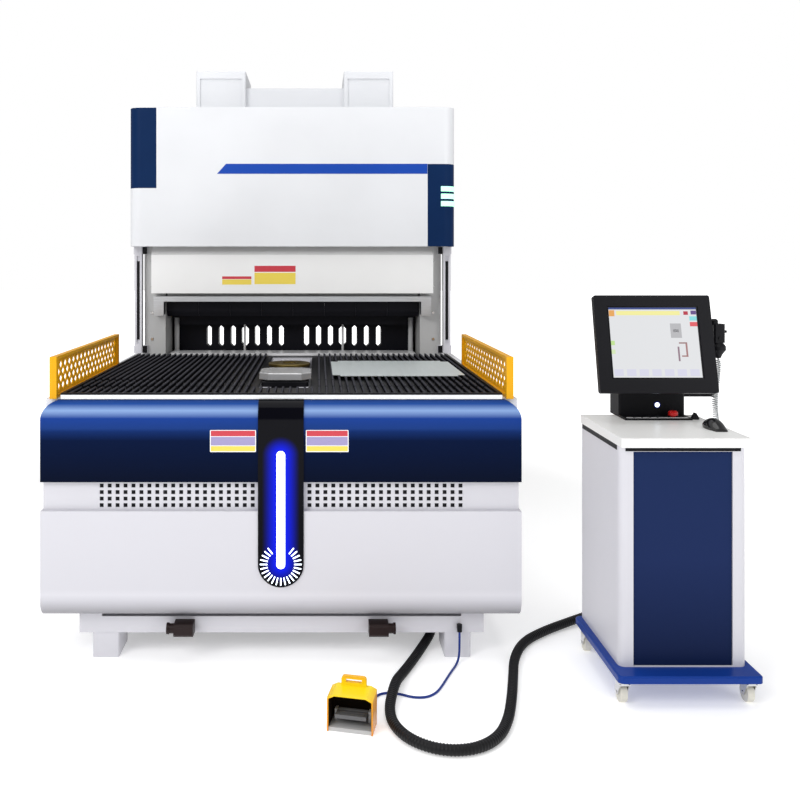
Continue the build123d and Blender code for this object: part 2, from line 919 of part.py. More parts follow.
def signal_lamps():
    lamps = []
    skin = head_solid(lamp_skin, 0) - head_solid(0, 1)
    for level in lamp_levels:
        z = (level - lamp_height / 2, level + lamp_height / 2)
        zone = block((lamp_start, head_half_width + lamp_skin + 1),
                     (head_front - lamp_skin - 1, head_front + head_radius), z)
        lamps.append(skin & zone)
    return group(lamps)


def tower_covers():
    z = (head_top, tower_top)
    tower = block(tower_x, tower_y, z)
    tower = chamfer(tower.edges().filter_by(Axis.Z) + tower.edges().group_by(Axis.Z)[-1], tower_edge)
    tower -= block((tower_x[0] + sheet, tower_x[1] - sheet), (tower_y[0] + tower_panel_depth + sheet,
                   tower_y[1] - sheet), (z[0] - 1, z[1] - sheet))
    m = tower_panel_margin
    recess_z = (z[0] + m, z[1] - 2 * m)
    recess = block((tower_x[0] + m, tower_x[1] - m), (tower_y[0] - 1, tower_y[0] + tower_panel_depth), recess_z)
    x = tower_x[0]
    bridge = block((-x, x), bridge_y, (head_top, bridge_top))
    bridge -= block((-x - 1, x + 1), (bridge_y[0] + sheet, bridge_y[1] - sheet), (head_top - 1, bridge_top - sheet))
    return group([both(tower - recess), bridge])


def curtain_posts():
    z = (table_height, head_bottom)
    middle = (post_x[0] + post_x[1]) / 2
    post = block(post_x, post_y, z)
    post = chamfer(post.edges().filter_by(Axis.Z), 3)
    slot_x = (middle - post_wall_slot / 2, middle + post_wall_slot / 2)
    slot_z = (z[0] + bracket_height + 10, z[1] - bracket_height - 10)
    post -= block(slot_x, (post_y[0] - 1, post_y[0] + post_slot_depth), slot_z)
    m = bracket_margin
    for low in (z[0], z[1] - bracket_height):
        post += block((post_x[0] - bracket_reach, post_x[1] + m), (post_y[0] + 12, column_front),
                      (low, low + bracket_height))
    return both(post)


def lifting_lugs():
    y = (plinth_inset - lug_depth, plinth_inset)
    lug = block(lug_x, y, lug_z)
    lug = chamfer(lug.edges().filter_by(Axis.X).group_by(Axis.Y)[0], 8)
    lug += lying(bollard_radius, (lug_x[0], bollard_end), y[0] + bollard_radius, lug_z[1] - bollard_radius)
    lug += lying(bollard_radius + 3, (bollard_end - 8, bollard_end), y[0] + bollard_radius,
                 lug_z[1] - bollard_radius)
    return both(lug)


# Foot pedal, drawn square at its own centre and then turned into place
pedal_place = Pos(pedal_centre[0], depth(pedal_centre[1]), 0) * Rot(0, 0, pedal_yaw)


def hood_section(y, inset, height):
    half = pedal_width / 2 - inset
    across, down = pedal_shoulder
    top = height - inset
    points = [(-half, 0), (-half, top - down), (-half + across, top), (half - across, top), (half, top - down),
              (half, 0)]
    return make_face(Polyline(*[(x, y, z) for x, z in points], close=True))


def pedal_cover():
    half = pedal_depth / 2
    outer = loft([hood_section(-half, 0, pedal_front_height), hood_section(half, 0, pedal_rear_height)])
    inner = loft([hood_section(-half - 1, pedal_wall, pedal_front_height),
                  hood_section(half - pedal_wall, pedal_wall, pedal_rear_height)])
    hood = outer - inner
    grip_y = half - grip_thickness / 2
    grip_z = pedal_rear_height + grip_height / 2 - 2
    grip = Pos(0, grip_y, grip_z) * Box(grip_width, grip_thickness, grip_height)
    grip = fillet(grip.edges().filter_by(Axis.Y).group_by(Axis.Z)[-1], 10)
    grip -= Pos(0, grip_y, grip_z + 2) * Box(grip_slot[0], grip_thickness + 2, grip_slot[1])
    return pedal_place * (hood + grip)


treadle_pivot_y = pedal_depth / 2 - pedal_wall - cheek_length / 2 - 4


def pedal_base():
    half_x = pedal_width / 2 - pedal_wall
    half_y = pedal_depth / 2 - pedal_wall
    plate = Pos(0, 0, pedal_base_height / 2) * Box(2 * half_x, 2 * half_y, pedal_base_height)
    cheek_x = treadle_width / 2 + running_gap + cheek_width / 2
    cheek_top = treadle_axis_height + 9
    for side in (-1, 1):
        place = Pos(side * cheek_x, treadle_pivot_y, cheek_top / 2)
        plate += place * Box(cheek_width, cheek_length, cheek_top)
    pin = Rot(0, 90, 0) * Cylinder(treadle_pin_radius, 2 * cheek_x)
    plate += Pos(0, treadle_pivot_y, treadle_axis_height) * pin
    return pedal_place * plate


def pedal_treadle():
    plate = Pos(0, -treadle_length / 2, 0) * Box(treadle_width, treadle_length, treadle_thickness)
    for index in range(treadle_grooves):
        place = Pos(0, -treadle_length + 8 + index * treadle_groove_pitch, treadle_thickness / 2)
        plate -= place * Box(treadle_width - 20, treadle_groove_pitch / 2, 4)
    plate += Rot(0, 90, 0) * Cylinder(treadle_pin_radius + 5, treadle_width)
    plate -= Rot(0, 90, 0) * Cylinder(treadle_pin_radius + running_gap, treadle_width + 2)
    plate = Pos(0, treadle_pivot_y, treadle_axis_height) * Rot(-treadle_slope, 0, 0) * plate
    return pedal_place * plate


# Operator console
def around(half, offset=0):
    return (console_x + offset - half, console_x + offset + half)


def console_tray():
    tray = block(around(tray_half_width), tray_y, tray_z)
    tray = fillet(tray.edges().filter_by(Axis.Z), tray_corner)
    top = tray.faces().sort_by(Axis.Z)[-1]
    return chamfer(top.edges(), 5)


def console_cabinet():
    z = (tray_z[1], cabinet_top)
    shell = block(around(cabinet_half_width), cabinet_y, z)
    shell = fillet(shell.edges().filter_by(Axis.Z).group_by(Axis.Y)[0], cabinet_radius)
    inner_front = cabinet_y[0] + front_panel_inset + front_panel_thickness
    shell -= block(around(cabinet_half_width - sheet), (inner_front, cabinet_y[1] - sheet),
                   (z[0] + sheet, z[1] - sheet))
    opening = cabinet_half_width - cabinet_post_width
    shell -= block(around(opening), (cabinet_y[0] - 1, inner_front + 1), (z[0] + sheet, front_panel_top + 1))
    box_x = (console_x + cabinet_half_width, console_x + handset_x + curl_diameter / 2 + 6)
    shell += block(box_x, (handset_y - 25, handset_y + 25), socket_z)
    gland_y = cabinet_y[1] + 24
    gland = Pos(console_x + hose_gland[0], depth((cabinet_y[1] + gland_y) / 2), hose_gland[1])
    shell += gland * Rot(90, 0, 0) * Cylinder(hose_diameter / 2 + 6, gland_y - cabinet_y[1])
    return shell


def console_front_panel():
    opening = cabinet_half_width - cabinet_post_width - seam
    y = (cabinet_y[0] + front_panel_inset, cabinet_y[0] + front_panel_inset + front_panel_thickness)
    return block(around(opening), y, (tray_z[1] + sheet + seam, front_panel_top))


def console_desk():
    desk = block(around(desk_half_width), desk_y, (cabinet_top, cabinet_top + desk_thickness))
    return fillet(desk.edges().filter_by(Axis.Z), desk_radius)


desk_top = cabinet_top + desk_thickness


def console_stand():
    x = around(stand_half_width, stand_x)
    box_z = (desk_top, desk_top + stand_height)
    stand = block(x, stand_y, box_z)
    stand = chamfer(stand.edges().filter_by(Axis.Z).group_by(Axis.Y)[0], 6)
    stand += block(x, (stand_plate_y, stand_y[0] + 10), (desk_top, desk_top + stand_plate_height))
    neck_start = tilt_axis[0] + tilt_lug_radius + neck_gap
    neck_y = (neck_start, neck_start + neck_depth)
    centre = console_x + monitor_x
    neck = block((centre - neck_half_width, centre + neck_half_width), neck_y, (box_z[1], tilt_axis[1] + 14))
    for side in (-1, 1):
        x_ear = sorted((centre + side * neck_half_width, centre + side * (neck_half_width - ear_thickness)))
        neck += block(x_ear, (tilt_axis[0] - 14, neck_y[0]), (tilt_axis[1] - 14, tilt_axis[1] + 14))
    pin = lying(tilt_pin_radius, (centre - neck_half_width, centre + neck_half_width), *tilt_axis)
    stand += neck + pin
    power_seat = Pos(console_x + power_x, depth(stand_y[0]), power_z) * Rot(90, 0, 0)
    stand -= power_seat * Cylinder(power_radius + running_gap, 20)
    arm_x = (x[1], console_x + handset_x)
    arm_y = handset_y + 45
    stand += lying(holder_radius, arm_x, arm_y, holder_z)
    stand += upright(holder_radius, arm_x[1], arm_y, (holder_z - holder_radius, handset_z[1] - 40))
    hook = (handset_y + 20, arm_y)
    stand += block((arm_x[1] - 12, arm_x[1] + 12), hook, (handset_z[1] - 75, handset_z[1] - 45))
    estop_seat = upright(estop_stem_radius + running_gap, console_x + estop_x, estop_y,
                         (desk_top + estop_seat_floor, desk_top + stand_plate_height + 1))
    return stand - estop_seat


def tilt_monitor(shape):
    """Leans a piece that was drawn upright about the monitor's lower front edge."""
    pivot = Pos(console_x + monitor_x, depth(monitor_front), monitor_bottom)
    return pivot * Rot(-monitor_lean, 0, 0) * shape


def monitor():
    w = monitor_width
    h = monitor_height
    t = monitor_thickness
    rim = Plane((0, 0, h / 2), x_dir=(1, 0, 0), z_dir=(0, 1, 0))
    case = extrude(rim * RectangleRounded(w, h, monitor_radius), amount=monitor_rim)
    narrow = 2 * monitor_back_inset
    case += loft([
        rim.offset(monitor_rim) * RectangleRounded(w, h, monitor_radius),
        rim.offset(t) * RectangleRounded(w - narrow, h - narrow, monitor_radius),
    ])
    screen_middle = screen_lift + screen_height / 2
    case -= Pos(0, 0, screen_middle) * Box(screen_width, 2 * (screen_recess + screen_thickness), screen_height)
    case = tilt_monitor(case)
    centre = console_x + monitor_x
    ear_inner = neck_half_width - ear_thickness - running_gap
    lean = radians(monitor_lean)
    drop = tilt_axis[1] - monitor_bottom
    wall_y = monitor_front + t / cos(lean) + drop * tan(lean)
    lug = block((centre - ear_inner, centre + ear_inner), (wall_y - 8, tilt_axis[0]),
                (tilt_axis[1] - 11, tilt_axis[1] + 11))
    lug += lying(tilt_lug_radius, (centre - ear_inner, centre + ear_inner), *tilt_axis)
    lug -= lying(tilt_pin_radius + running_gap, (centre - 60, centre + 60), *tilt_axis)
    return case + lug


def screen():
    middle = screen_lift + screen_height / 2
    y = screen_recess + screen_thickness / 2
    glass = Pos(0, y, middle) * Box(screen_width, screen_thickness, screen_height)
    return tilt_monitor(glass)


def estop_button():
    bottom = desk_top + stand_plate_height + estop_travel + 1
    stem_bottom = desk_top + estop_seat_floor + estop_travel + running_gap
    cap = upright(estop_radius, console_x + estop_x, estop_y, (bottom, bottom + estop_height))
    cap = chamfer(cap.edges().filter_by(GeomType.CIRCLE).sort_by(Axis.Z)[-1], 5)
    stem = upright(estop_stem_radius, console_x + estop_x, estop_y, (stem_bottom, bottom))
    return cap + stem


def power_button():
    y = stand_y[0] - 3
    place = Pos(console_x + power_x, depth(y + 3), power_z) * Rot(90, 0, 0)
    return place * Cylinder(power_radius, 6)


def selector_knob():
    x = console_x + selector_x
    bottom = desk_top + running_gap
    top = bottom + selector_height
    knob = upright(selector_radius, x, selector_y, (bottom, bottom + selector_skirt))
    cone = Pos(x, depth(selector_y), (bottom + selector_skirt + top) / 2)
    knob += cone * Cone(selector_radius, selector_radius * 0.45, selector_height - selector_skirt)
    return knob + block((x - 2.5, x + 2.5), (selector_y - 11, selector_y + 11), (top - 9, top + 2))


def mouse():
    w, l, h = mouse_size
    x = console_x + mouse_place[0] - 30
    y = depth(mouse_place[1])
    sections = []
    for place, width, height in ((-0.5, 0.62, 0.28), (-0.1, 0.96, 0.86), (0.22, 1.0, 1.0), (0.5, 0.6, 0.3)):
        half = w * width / 2
        top = h * height
        arc = ThreePointArc((-half, top * 0.35), (0, top), (half, top * 0.35))
        base = Polyline((half, top * 0.35), (half * 0.94, 0), (-half * 0.94, 0), (-half, top * 0.35))
        face = make_face([arc, base])
        plane = Plane((x, y + l * place, desk_top), x_dir=(1, 0, 0), z_dir=(0, -1, 0))
        sections.append(plane * face)
    return loft(sections)


def handset():
    x = console_x + handset_x
    y = handset_y
    z0 = handset_z[0]
    outline = [(0, z0), (9, z0), (15, z0 + 14), (27, z0 + 30), (26, z0 + 44), (15, z0 + 58), (0, z0 + 58)]
    grip_face = make_face(Polyline(*[(x + r, depth(y), z) for r, z in outline], close=True))
    grip = revolve(grip_face, axis=Axis((x, depth(y), 0), (0, 0, 1)))
    body = block((x - 20, x + 20), (y - 16, y + 20), (z0 + 56, z0 + 124))
    body = chamfer(body.edges().filter_by(Axis.Z), 5)
    dome = upright(13, x - 14, y, (z0 + 120, z0 + 142))
    dome = chamfer(dome.edges().filter_by(GeomType.CIRCLE).sort_by(Axis.Z)[-1], 6)
    nub = lying(5, (x + 18, x + 30), y, z0 + 96)
    button = Pos(x, depth(y - 16), z0 + 72) * Rot(90, 0, 0) * Cylinder(6, 6)
    return grip + body + dome + nub + button


def caster_points():
    places = []
    for x_side, x_name in ((-1, "left"), (1, "right")):
        for y, y_name in ((caster_y[0], "front"), (caster_y[1], "rear")):
            places.append((f"{y_name}_{x_name}", console_x + x_side * caster_x, y))
    return places


def caster_fork(x, y):
    """Bent fork: a top plate with a swivel head and two cheeks that reach back to the axle."""
    top = tray_z[0]
    half = wheel_width / 2 + fork_gap
    bridge_z = (2 * wheel_radius + 4, 2 * wheel_radius + 4 + fork_wall)
    fork = block((x - half - fork_wall, x + half + fork_wall), (y - 12, y + caster_trail + 8), bridge_z)
    fork += upright(swivel_radius, x, y, (bridge_z[1], top - running_gap))
    cheek = [(y - 12, bridge_z[1]), (y + caster_trail + 8, bridge_z[1]), (y + caster_trail + 9, wheel_radius - 6),
             (y + caster_trail - 9, wheel_radius - 6)]
    for side in (-1, 1):
        span = sorted((x + side * half, x + side * (half + fork_wall)))
        fork += side_profile(cheek, span)
    axle_half = half + fork_wall + 2
    fork += lying(axle_radius, (x - axle_half, x + axle_half), y + caster_trail, wheel_radius)
    return fork


def caster_wheel(x, y):
    centre_y = y + caster_trail
    wheel = lying(wheel_radius, (x - wheel_width / 2, x + wheel_width / 2), centre_y, wheel_radius)
    return wheel - lying(axle_radius + running_gap, (x - 20, x + 20), centre_y, wheel_radius)


# Cords: routes in X, depth and height
junction_x = 600
junction_z = (330, 450)
junction_depth = 100
hose_gland = (109, 150)
hose_z = hose_diameter / 2
cable_z = cable_diameter / 2
hump_z = hose_z + cable_diameter + 4

hose_route = [
    (600, 605, 330), (600, 605, 233), (598, 560, 138), (592, 475, 62), (582, 355, 22), (556, 245, hose_z),
    (512, 130, hose_z), (458, 0, hose_z), (412, -100, hose_z), (390, -165, hump_z), (370, -246, hump_z),
    (352, -335, hose_z), (358, -434, hose_z), (404, -522, hose_z), (488, -574, hose_z), (586, -566, hose_z),
    (662, -504, hose_z), (712, -400, hose_z), (750, -270, hose_z), (787, -120, hose_z), (822, 30, hose_z),
    (885, 165, hose_z), (985, 262, hose_z), (1105, 344, 20), (1232, 404, 34), (1314, 398, 62),
    (1382, 352, 104), (1421, 280, 150), (1421, 198, 150),
]

cable_route = [
    (634, 55, 100), (634, 55, 60), (630, 36, 20), (615, 4, 4.5), (592, -42, cable_z), (566, -100, cable_z),
    (540, -160, cable_z), (516, -204, cable_z), (482, -232, cable_z), (438, -232, cable_z),
    (398, -208, cable_z), (356, -198, cable_z), (320, -217, cable_z), (305, -275, 8), (298.02, -328.3, 16),
    (289.47, -365.33, 16),
]

curl_x = console_x + handset_x
curl_route = [
    (curl_x, handset_y, handset_z[0]), (curl_x, handset_y, 1010), (curl_x - 11, handset_y + 2, 935),
    (curl_x - 10, handset_y - 1, 862), (curl_x, handset_y, 803), (curl_x, handset_y, socket_z[1]),
]


def route_points(route):
    return [Vector(x, depth(y), z) for x, y, z in route]


def corner_radii(points):
    """Radius at each inner point, as large as the two runs beside it allow."""
    radii = []
    for before, here, after in zip(points, points[1:], points[2:]):
        turn = (here - before).get_angle(after - here)
        shorter = min((here - before).length, (after - here).length)
        radii.append(0.45 * shorter / tan(radians(turn) / 2))
    return radii


def cord(name, route, diameter):
    """Plain tube along straight runs joined by tangent arcs."""
    points = route_points(route)
    radii = corner_radii(points)
    path = FilletPolyline(*points, radius=radii)
    start = Plane(points[0], z_dir=points[1] - points[0])
    tube = sweep(start * Circle(diameter / 2), path=path)
    section = pi * (diameter / 2) ** 2
    print(name, "length", round(path.length), "volume ratio", round(tube.volume / (section * path.length), 4))
    print(name, "radii", [round(radius) for radius in radii])
    return tube


def cable_glands():
    """Cable gland under the plinth and the one behind the pedal."""
    x, y, z = cable_route[0]
    body = upright(plinth_gland_radius, x, y, (z, z + 26))
    body += block((x - 8, x + 8), (y, plinth_inset), (z + 6, z + 22))
    rear = Pos(pedal_gland_x, pedal_depth / 2 + pedal_gland_length / 2, cable_route[-1][2])
    rear = rear * Rot(90, 0, 0) * Cylinder(pedal_gland_radius, pedal_gland_length)
    return group([body, pedal_place * rear])


nodes = {
    "base_frame": base_frame(),
    "support_feet": support_feet(),
    "lower_front_panel": lower_front_panel(),
    "perforated_band": perforated_band(),
    "front_fascia": front_fascia(),
    "light_panel": light_panel(),
    "light_bar": light_bar(),
    "side_covers": side_covers(),
    "rear_cover": rear_cover(),
    "table_apron": table_apron(),
    "table_plate": table_plate(),
    "brush_strips": brush_strips(),
    "manipulator_carriage": manipulator_carriage(),
    "rotary_disc": rotary_disc(),
    "clamp_block": clamp_block(),
    "sheet_blank": sheet_blank(),
    "side_guards": side_guards(),
    "press_frame": press_frame(),
    "lower_tool": lower_tool(),
    "ram_beam": ram_beam(),
    "ram_actuators": ram_actuators(),
    "ram_cover": ram_cover(),
    "tool_rail": tool_rail(),
    "upper_tools": upper_tools(),
    "blade_frame": blade_frame(),
    "bending_blades": bending_blades(),
    "blade_saddle": blade_saddle(),
    "head_cover": head_cover(),
    "corner_panels": corner_panels(),
    "signal_lamps": signal_lamps(),
    "tower_covers": tower_covers(),
    "curtain_posts": curtain_posts(),
    "lifting_lugs": lifting_lugs(),
    "pedal_base": pedal_base(),
    "pedal_cover": pedal_cover(),
    "pedal_treadle": pedal_treadle(),
    "console_tray": console_tray(),
    "console_cabinet": console_cabinet(),
    "console_front_panel": console_front_panel(),
    "console_desk": console_desk(),
    "console_stand": console_stand(),
    "monitor": monitor(),
    "screen": screen(),
    "estop_button": estop_button(),
    "power_button": power_button(),
    "selector_knob": selector_knob(),
    "mouse": mouse(),
    "handset": handset(),
    "hose": cord("hose", hose_route, hose_diameter),
    "pedal_cable": cord("pedal cable", cable_route, cable_diameter),
    "curly_cord": cord("curly cord", curl_route, curl_diameter),
    "cable_glands": cable_glands(),
}
for caster_name, caster_place_x, caster_place_y in caster_points():
    nodes[f"caster_fork_{caster_name}"] = caster_fork(caster_place_x, caster_place_y)
    nodes[f"caster_wheel_{caster_name}"] = caster_wheel(caster_place_x, caster_place_y)

os.makedirs("parts", exist_ok=True)
for node_name, shape in nodes.items():
    export_step(shape, f"parts/{node_name}.step")
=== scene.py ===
"""Looks of the compact panel bender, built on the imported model, in metres.

X runs to the operator's right, Y from the operator into the machine and Z up.
"""
import bmesh
import bpy
import json
from math import cos, pi, radians, sin
from mathutils import Matrix, Vector
from random import Random


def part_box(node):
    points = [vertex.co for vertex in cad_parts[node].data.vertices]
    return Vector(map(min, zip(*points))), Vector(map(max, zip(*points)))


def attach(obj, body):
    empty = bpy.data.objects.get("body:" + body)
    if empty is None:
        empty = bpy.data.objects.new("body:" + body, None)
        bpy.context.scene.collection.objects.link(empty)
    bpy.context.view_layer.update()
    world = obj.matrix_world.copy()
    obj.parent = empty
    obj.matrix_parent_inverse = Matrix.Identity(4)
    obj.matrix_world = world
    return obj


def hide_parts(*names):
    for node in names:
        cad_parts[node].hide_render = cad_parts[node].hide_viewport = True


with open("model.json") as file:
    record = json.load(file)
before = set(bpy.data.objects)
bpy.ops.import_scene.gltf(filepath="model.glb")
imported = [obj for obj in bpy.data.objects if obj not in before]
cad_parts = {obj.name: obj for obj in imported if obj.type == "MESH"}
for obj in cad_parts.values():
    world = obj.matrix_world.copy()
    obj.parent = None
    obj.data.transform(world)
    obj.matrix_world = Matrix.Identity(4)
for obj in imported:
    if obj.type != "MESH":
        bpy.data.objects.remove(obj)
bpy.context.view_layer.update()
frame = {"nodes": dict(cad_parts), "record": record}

# Camera, level and looking along +Y
camera_place = (0.13, -4.4, 1.416)
camera_sensor = 36
camera_lens = 40.5
camera_shift = (0.1025, -0.1725)

# Cords, with the route points of the CAD tubes
hose_diameter = 0.034
hose_ring_pitch = 0.0105
hose_ring_depth = 0.0022
cable_diameter = 0.008
curl_outer = 0.022
curl_wire = 0.005
curl_pitch = 0.0075
curl_steps = 14
hose_route = [
    (0.6, -0.645, 0.33), (0.6, -0.645, 0.233), (0.598, -0.69, 0.138), (0.592, -0.775, 0.062),
    (0.582, -0.895, 0.022), (0.556, -1.005, 0.017), (0.512, -1.12, 0.017), (0.458, -1.25, 0.017),
    (0.412, -1.35, 0.017), (0.39, -1.415, 0.029), (0.37, -1.496, 0.029), (0.352, -1.585, 0.017),
    (0.358, -1.684, 0.017), (0.404, -1.772, 0.017), (0.488, -1.824, 0.017), (0.586, -1.816, 0.017),
    (0.662, -1.754, 0.017), (0.712, -1.65, 0.017), (0.75, -1.52, 0.017), (0.787, -1.37, 0.017),
    (0.822, -1.22, 0.017), (0.885, -1.085, 0.017), (0.985, -0.988, 0.017), (1.105, -0.906, 0.02),
    (1.232, -0.846, 0.034), (1.314, -0.852, 0.062), (1.382, -0.898, 0.104), (1.421, -0.97, 0.15),
    (1.421, -1.052, 0.15),
]
cable_route = [
    (0.634, -1.195, 0.1), (0.634, -1.195, 0.06), (0.63, -1.214, 0.02), (0.615, -1.246, 0.0045),
    (0.592, -1.292, 0.004), (0.566, -1.35, 0.004), (0.54, -1.41, 0.004), (0.516, -1.454, 0.004),
    (0.482, -1.482, 0.004), (0.438, -1.482, 0.004), (0.398, -1.458, 0.004), (0.356, -1.448, 0.004),
    (0.32, -1.467, 0.004), (0.305, -1.525, 0.008), (0.29802, -1.5783, 0.016), (0.28947, -1.61533, 0.016),
]
curl_route = [
    (1.58, -1.138, 1.068), (1.58, -1.138, 1.01), (1.569, -1.136, 0.935), (1.57, -1.139, 0.862),
    (1.58, -1.138, 0.803), (1.58, -1.138, 0.76),
]

# Front of the head
stripe_z = (1.857, 1.907)
stripe_left = (-0.375, -0.33)
stripe_right = 0.677
stripe_thickness = 0.0008

# Bare plates on the ram cover and the fascia, as (left, right, bottom, top)
cover_plates = ((-0.357, -0.203, 1.3, 1.345), (-0.194, 0.02, 1.3, 1.4))
fascia_plates = ((-0.248, -0.087, 0.751, 0.828), (0.0875, 0.237, 0.751, 0.828))
plate_thickness = 0.0012
plate_edge = 0.003
cover_bands = ((0.66, 0.97, 1), (0.04, 0.62, 3))
fascia_bands = ((0.72, 0.97, 1), (0.3, 0.69, 2), (0.04, 0.27, 3))
plate_corner = 0.003
band_corner = 0.001
band_thickness = 0.0002

# Colours that run with height, as (height, colour) from the bottom up; they hold painted highlights and
# painted shade
# Fascia: a painted highlight along the rounded top at 0.8945 and painted shade darkening towards the
# bottom
fascia_painted_light = (
    (0.645, (0.0015, 0.004, 0.016)), (0.79, (0.0015, 0.007, 0.036)), (0.822, (0.005, 0.022, 0.115)),
    (0.833, (0.011, 0.04, 0.19)), (0.868, (0.011, 0.045, 0.25)), (0.8945, (0.22, 0.34, 0.6)),
    (0.915, (0.012, 0.06, 0.27)), (0.928, (0.01, 0.035, 0.16)),
)
# Lower front panel: painted shade where its bottom edge rolls under, with a faint painted highlight
# where the bend starts
panel_painted_shade = ((0.175, (0.26, 0.255, 0.275)), (0.2, (0.4, 0.395, 0.425)), (0.228, (0.56, 0.555, 0.6)),
                (0.25, (0.66, 0.655, 0.7)), (0.27, (0.62, 0.615, 0.66)), (0.55, (0.62, 0.615, 0.66)))
# Console panel: painted shade, darker towards the floor
console_painted_shade = ((0.1, (0.006, 0.013, 0.05)), (0.45, (0.012, 0.024, 0.088)),
                  (0.8, (0.011, 0.024, 0.085)))
# Pedal hood: a painted highlight near the top of the hood and painted shade lower down
pedal_painted_light = ((0.0, (0.75, 0.26, 0.004)), (0.095, (0.85, 0.36, 0.004)), (0.112, (0.95, 0.72, 0.01)),
                (0.145, (0.88, 0.42, 0.006)))

# Brushes
tuft_pitch = 0.017
tuft_radius = 0.0085
tuft_lean = 0.006
tuft_base = 0.004
tuft_sides = 6
tuft_squash = 0.9
tuft_bend = 0.7
tuft_waist = 0.62
tuft_tip = 0.55
tuft_tip_height = 0.004
tuft_seed = 7

# Screen fields, as shares of the screen's width and height from its lower left corner
screen_back = (0.8, 0.81, 0.83)
screen_fields = (
    (0.0, 1.0, 0.955, 1.0, (0.03, 0.06, 0.25)),
    (0.1, 0.8, 0.875, 0.935, (0.95, 0.9, 0.35)),
    (0.02, 0.08, 0.86, 0.945, (0.85, 0.4, 0.1)),
    (0.84, 0.89, 0.88, 0.93, (0.5, 0.02, 0.05)),
    (0.92, 0.98, 0.885, 0.94, (0.12, 0.06, 0.25)),
    (0.9, 0.99, 0.8, 0.86, (0.25, 0.75, 0.78)),
    (0.9, 0.99, 0.72, 0.78, (0.8, 0.1, 0.12)),
    (0.68, 0.8, 0.56, 0.76, (0.5, 0.5, 0.52)),
    (0.71, 0.77, 0.64, 0.68, (0.03, 0.03, 0.04)),
    (0.76, 0.85, 0.48, 0.5, (0.35, 0.2, 0.2)),
    (0.83, 0.85, 0.3, 0.48, (0.4, 0.2, 0.2)),
    (0.74, 0.76, 0.24, 0.44, (0.3, 0.2, 0.25)),
    (0.78, 0.85, 0.3, 0.32, (0.4, 0.22, 0.22)),
    (0.0, 0.06, 0.46, 0.52, (0.55, 0.8, 0.3)),
    (0.0, 0.06, 0.34, 0.4, (0.7, 0.85, 0.5)),
)
screen_keys = 7
screen_key_row = (0.04, 0.13)
screen_key_start = 0.03
screen_key_span = 0.96
screen_key_width = 0.1
screen_key_color = (0.72, 0.72, 0.86)
screen_edge = 0.006
screen_off = (0.02, 0.02, 0.02)
screen_back_lift = 0.0003
screen_field_lift = 0.0002
screen_glow = 0.92

# Light: the floor's own glow rises from the third to the fourth value between two distances;
# lamps are (name, place, target, size, power)
floor_glow = (2.2, 5.5, 0.33, 1.15)
floor_x = (-30, 30)
floor_y = (-20, 40)
world_strength = 0.42
lamps = (
    ("key", (-3.5, -5.5, 4.5), (0, -0.8, 1), (3, 3), 190),
    ("fill", (4.5, -5, 3), (0.5, -0.8, 1), (3, 3), 60),
    ("top", (0, -1, 6), (0, 0, 0), (5, 5), 150),
)

# Front edge strip of the table, as (half width, bottom, top), and the dark sheet of painted shade
# behind the holes of the band, as (inner X, outer X, bottom, top)
apron_strip = (0.785, 0.9285, 0.9435)
band_shade_sheet = (0.082, 0.658, 0.546, 0.642)
band_depth = 0.0032
sheet_thickness = 0.001

# Bright sleeves on the rods of the bending unit, as (X, radius, bottom, top)
rod_sleeves = ((0.2621, 0.0062, 0.935, 1.119), (0.625, 0.0128, 0.93, 1.1195))
rod_inset = 0.03
rod_sides = 20

# Light curtain: painted shadow line along the post's inner edge, lens strip and bracket caps;
# depths are behind the post's front
post_shadow_x = (0.7665, 0.7675)
post_shadow_y = (0.001, 0.012)
post_lens_x = (0.7815, 0.7945)
post_lens_y = (0.004, 0.0075)
post_lens_z = (1.02, 1.42)
bracket_cap_x = (0.7445, 0.7665)
bracket_cap_y = (0.0105, 0.0117)
bracket_cap_z = ((0.951, 0.987), (1.457, 1.493))

# Foot pedal: place, turn and inner faces of the hood that get a dark sheet of painted shade, from the
# pedal's own axes
pedal_place = (0.234, -1.66, 0)
pedal_turn = -13
hood_half_width = 0.0655
hood_y = (-0.034, 0.0353)
hood_bottom = 0.013
hood_back_top = 0.098
hood_side_top = 0.0965
hood_roof_half_width = 0.046
hood_roof = 0.1062
hood_shade_thickness = 0.0006

# Console: painted shadow band under the desk, strip of controls and lens of the power button
desk_shadow_band_z = (0.8035, 0.8205)
desk_shadow_band_thickness = 0.0008
cabinet_x = (1.105, 1.519)
desk_shadow_band_inset = 0.02
desk_shadow_band_side = (0.022, 0.03)
control_strip_x = (1.235, 1.455)
control_strip_front = -1.184
control_strip_depth = 0.011
control_strip_z = (0.858, 0.8592)
control_studs = (1.262, 1.29, 1.318, 1.346)
stud_radius = 0.0045
stud_height = 0.004
stud_sides = 14
power_lens_radius = 0.0085
power_lens_height = 0.0006
power_lens_sides = 28

# Light bar: its lower end, the radius of its ends and the painted glow of its light on the panel round
# it
light_bar_low = 0.344
bar_radius = 0.015
halo_start = 0.008
halo_reach = 0.068
halo_strength = 0.95

# Fine surface detail, as noise scales and depths
cloud_scale = 2.5
peel_scale = 450
peel_depth = 0.0004
brush_scale = 4
brush_depth = 0.0003
grain_depth = 0.0003

# Small fasteners
bolt_radius = 0.008
bolt_height = 0.005
bolt_x = 0.722
bolt_z = (1.02, 1.155, 1.29, 1.42)
bolt_sides = 18


# Materials

def new_material(name):
    material = bpy.data.materials.new(name)
    material.use_nodes = True
    nodes = material.node_tree.nodes
    return material, nodes, material.node_tree.links, nodes["Principled BSDF"]


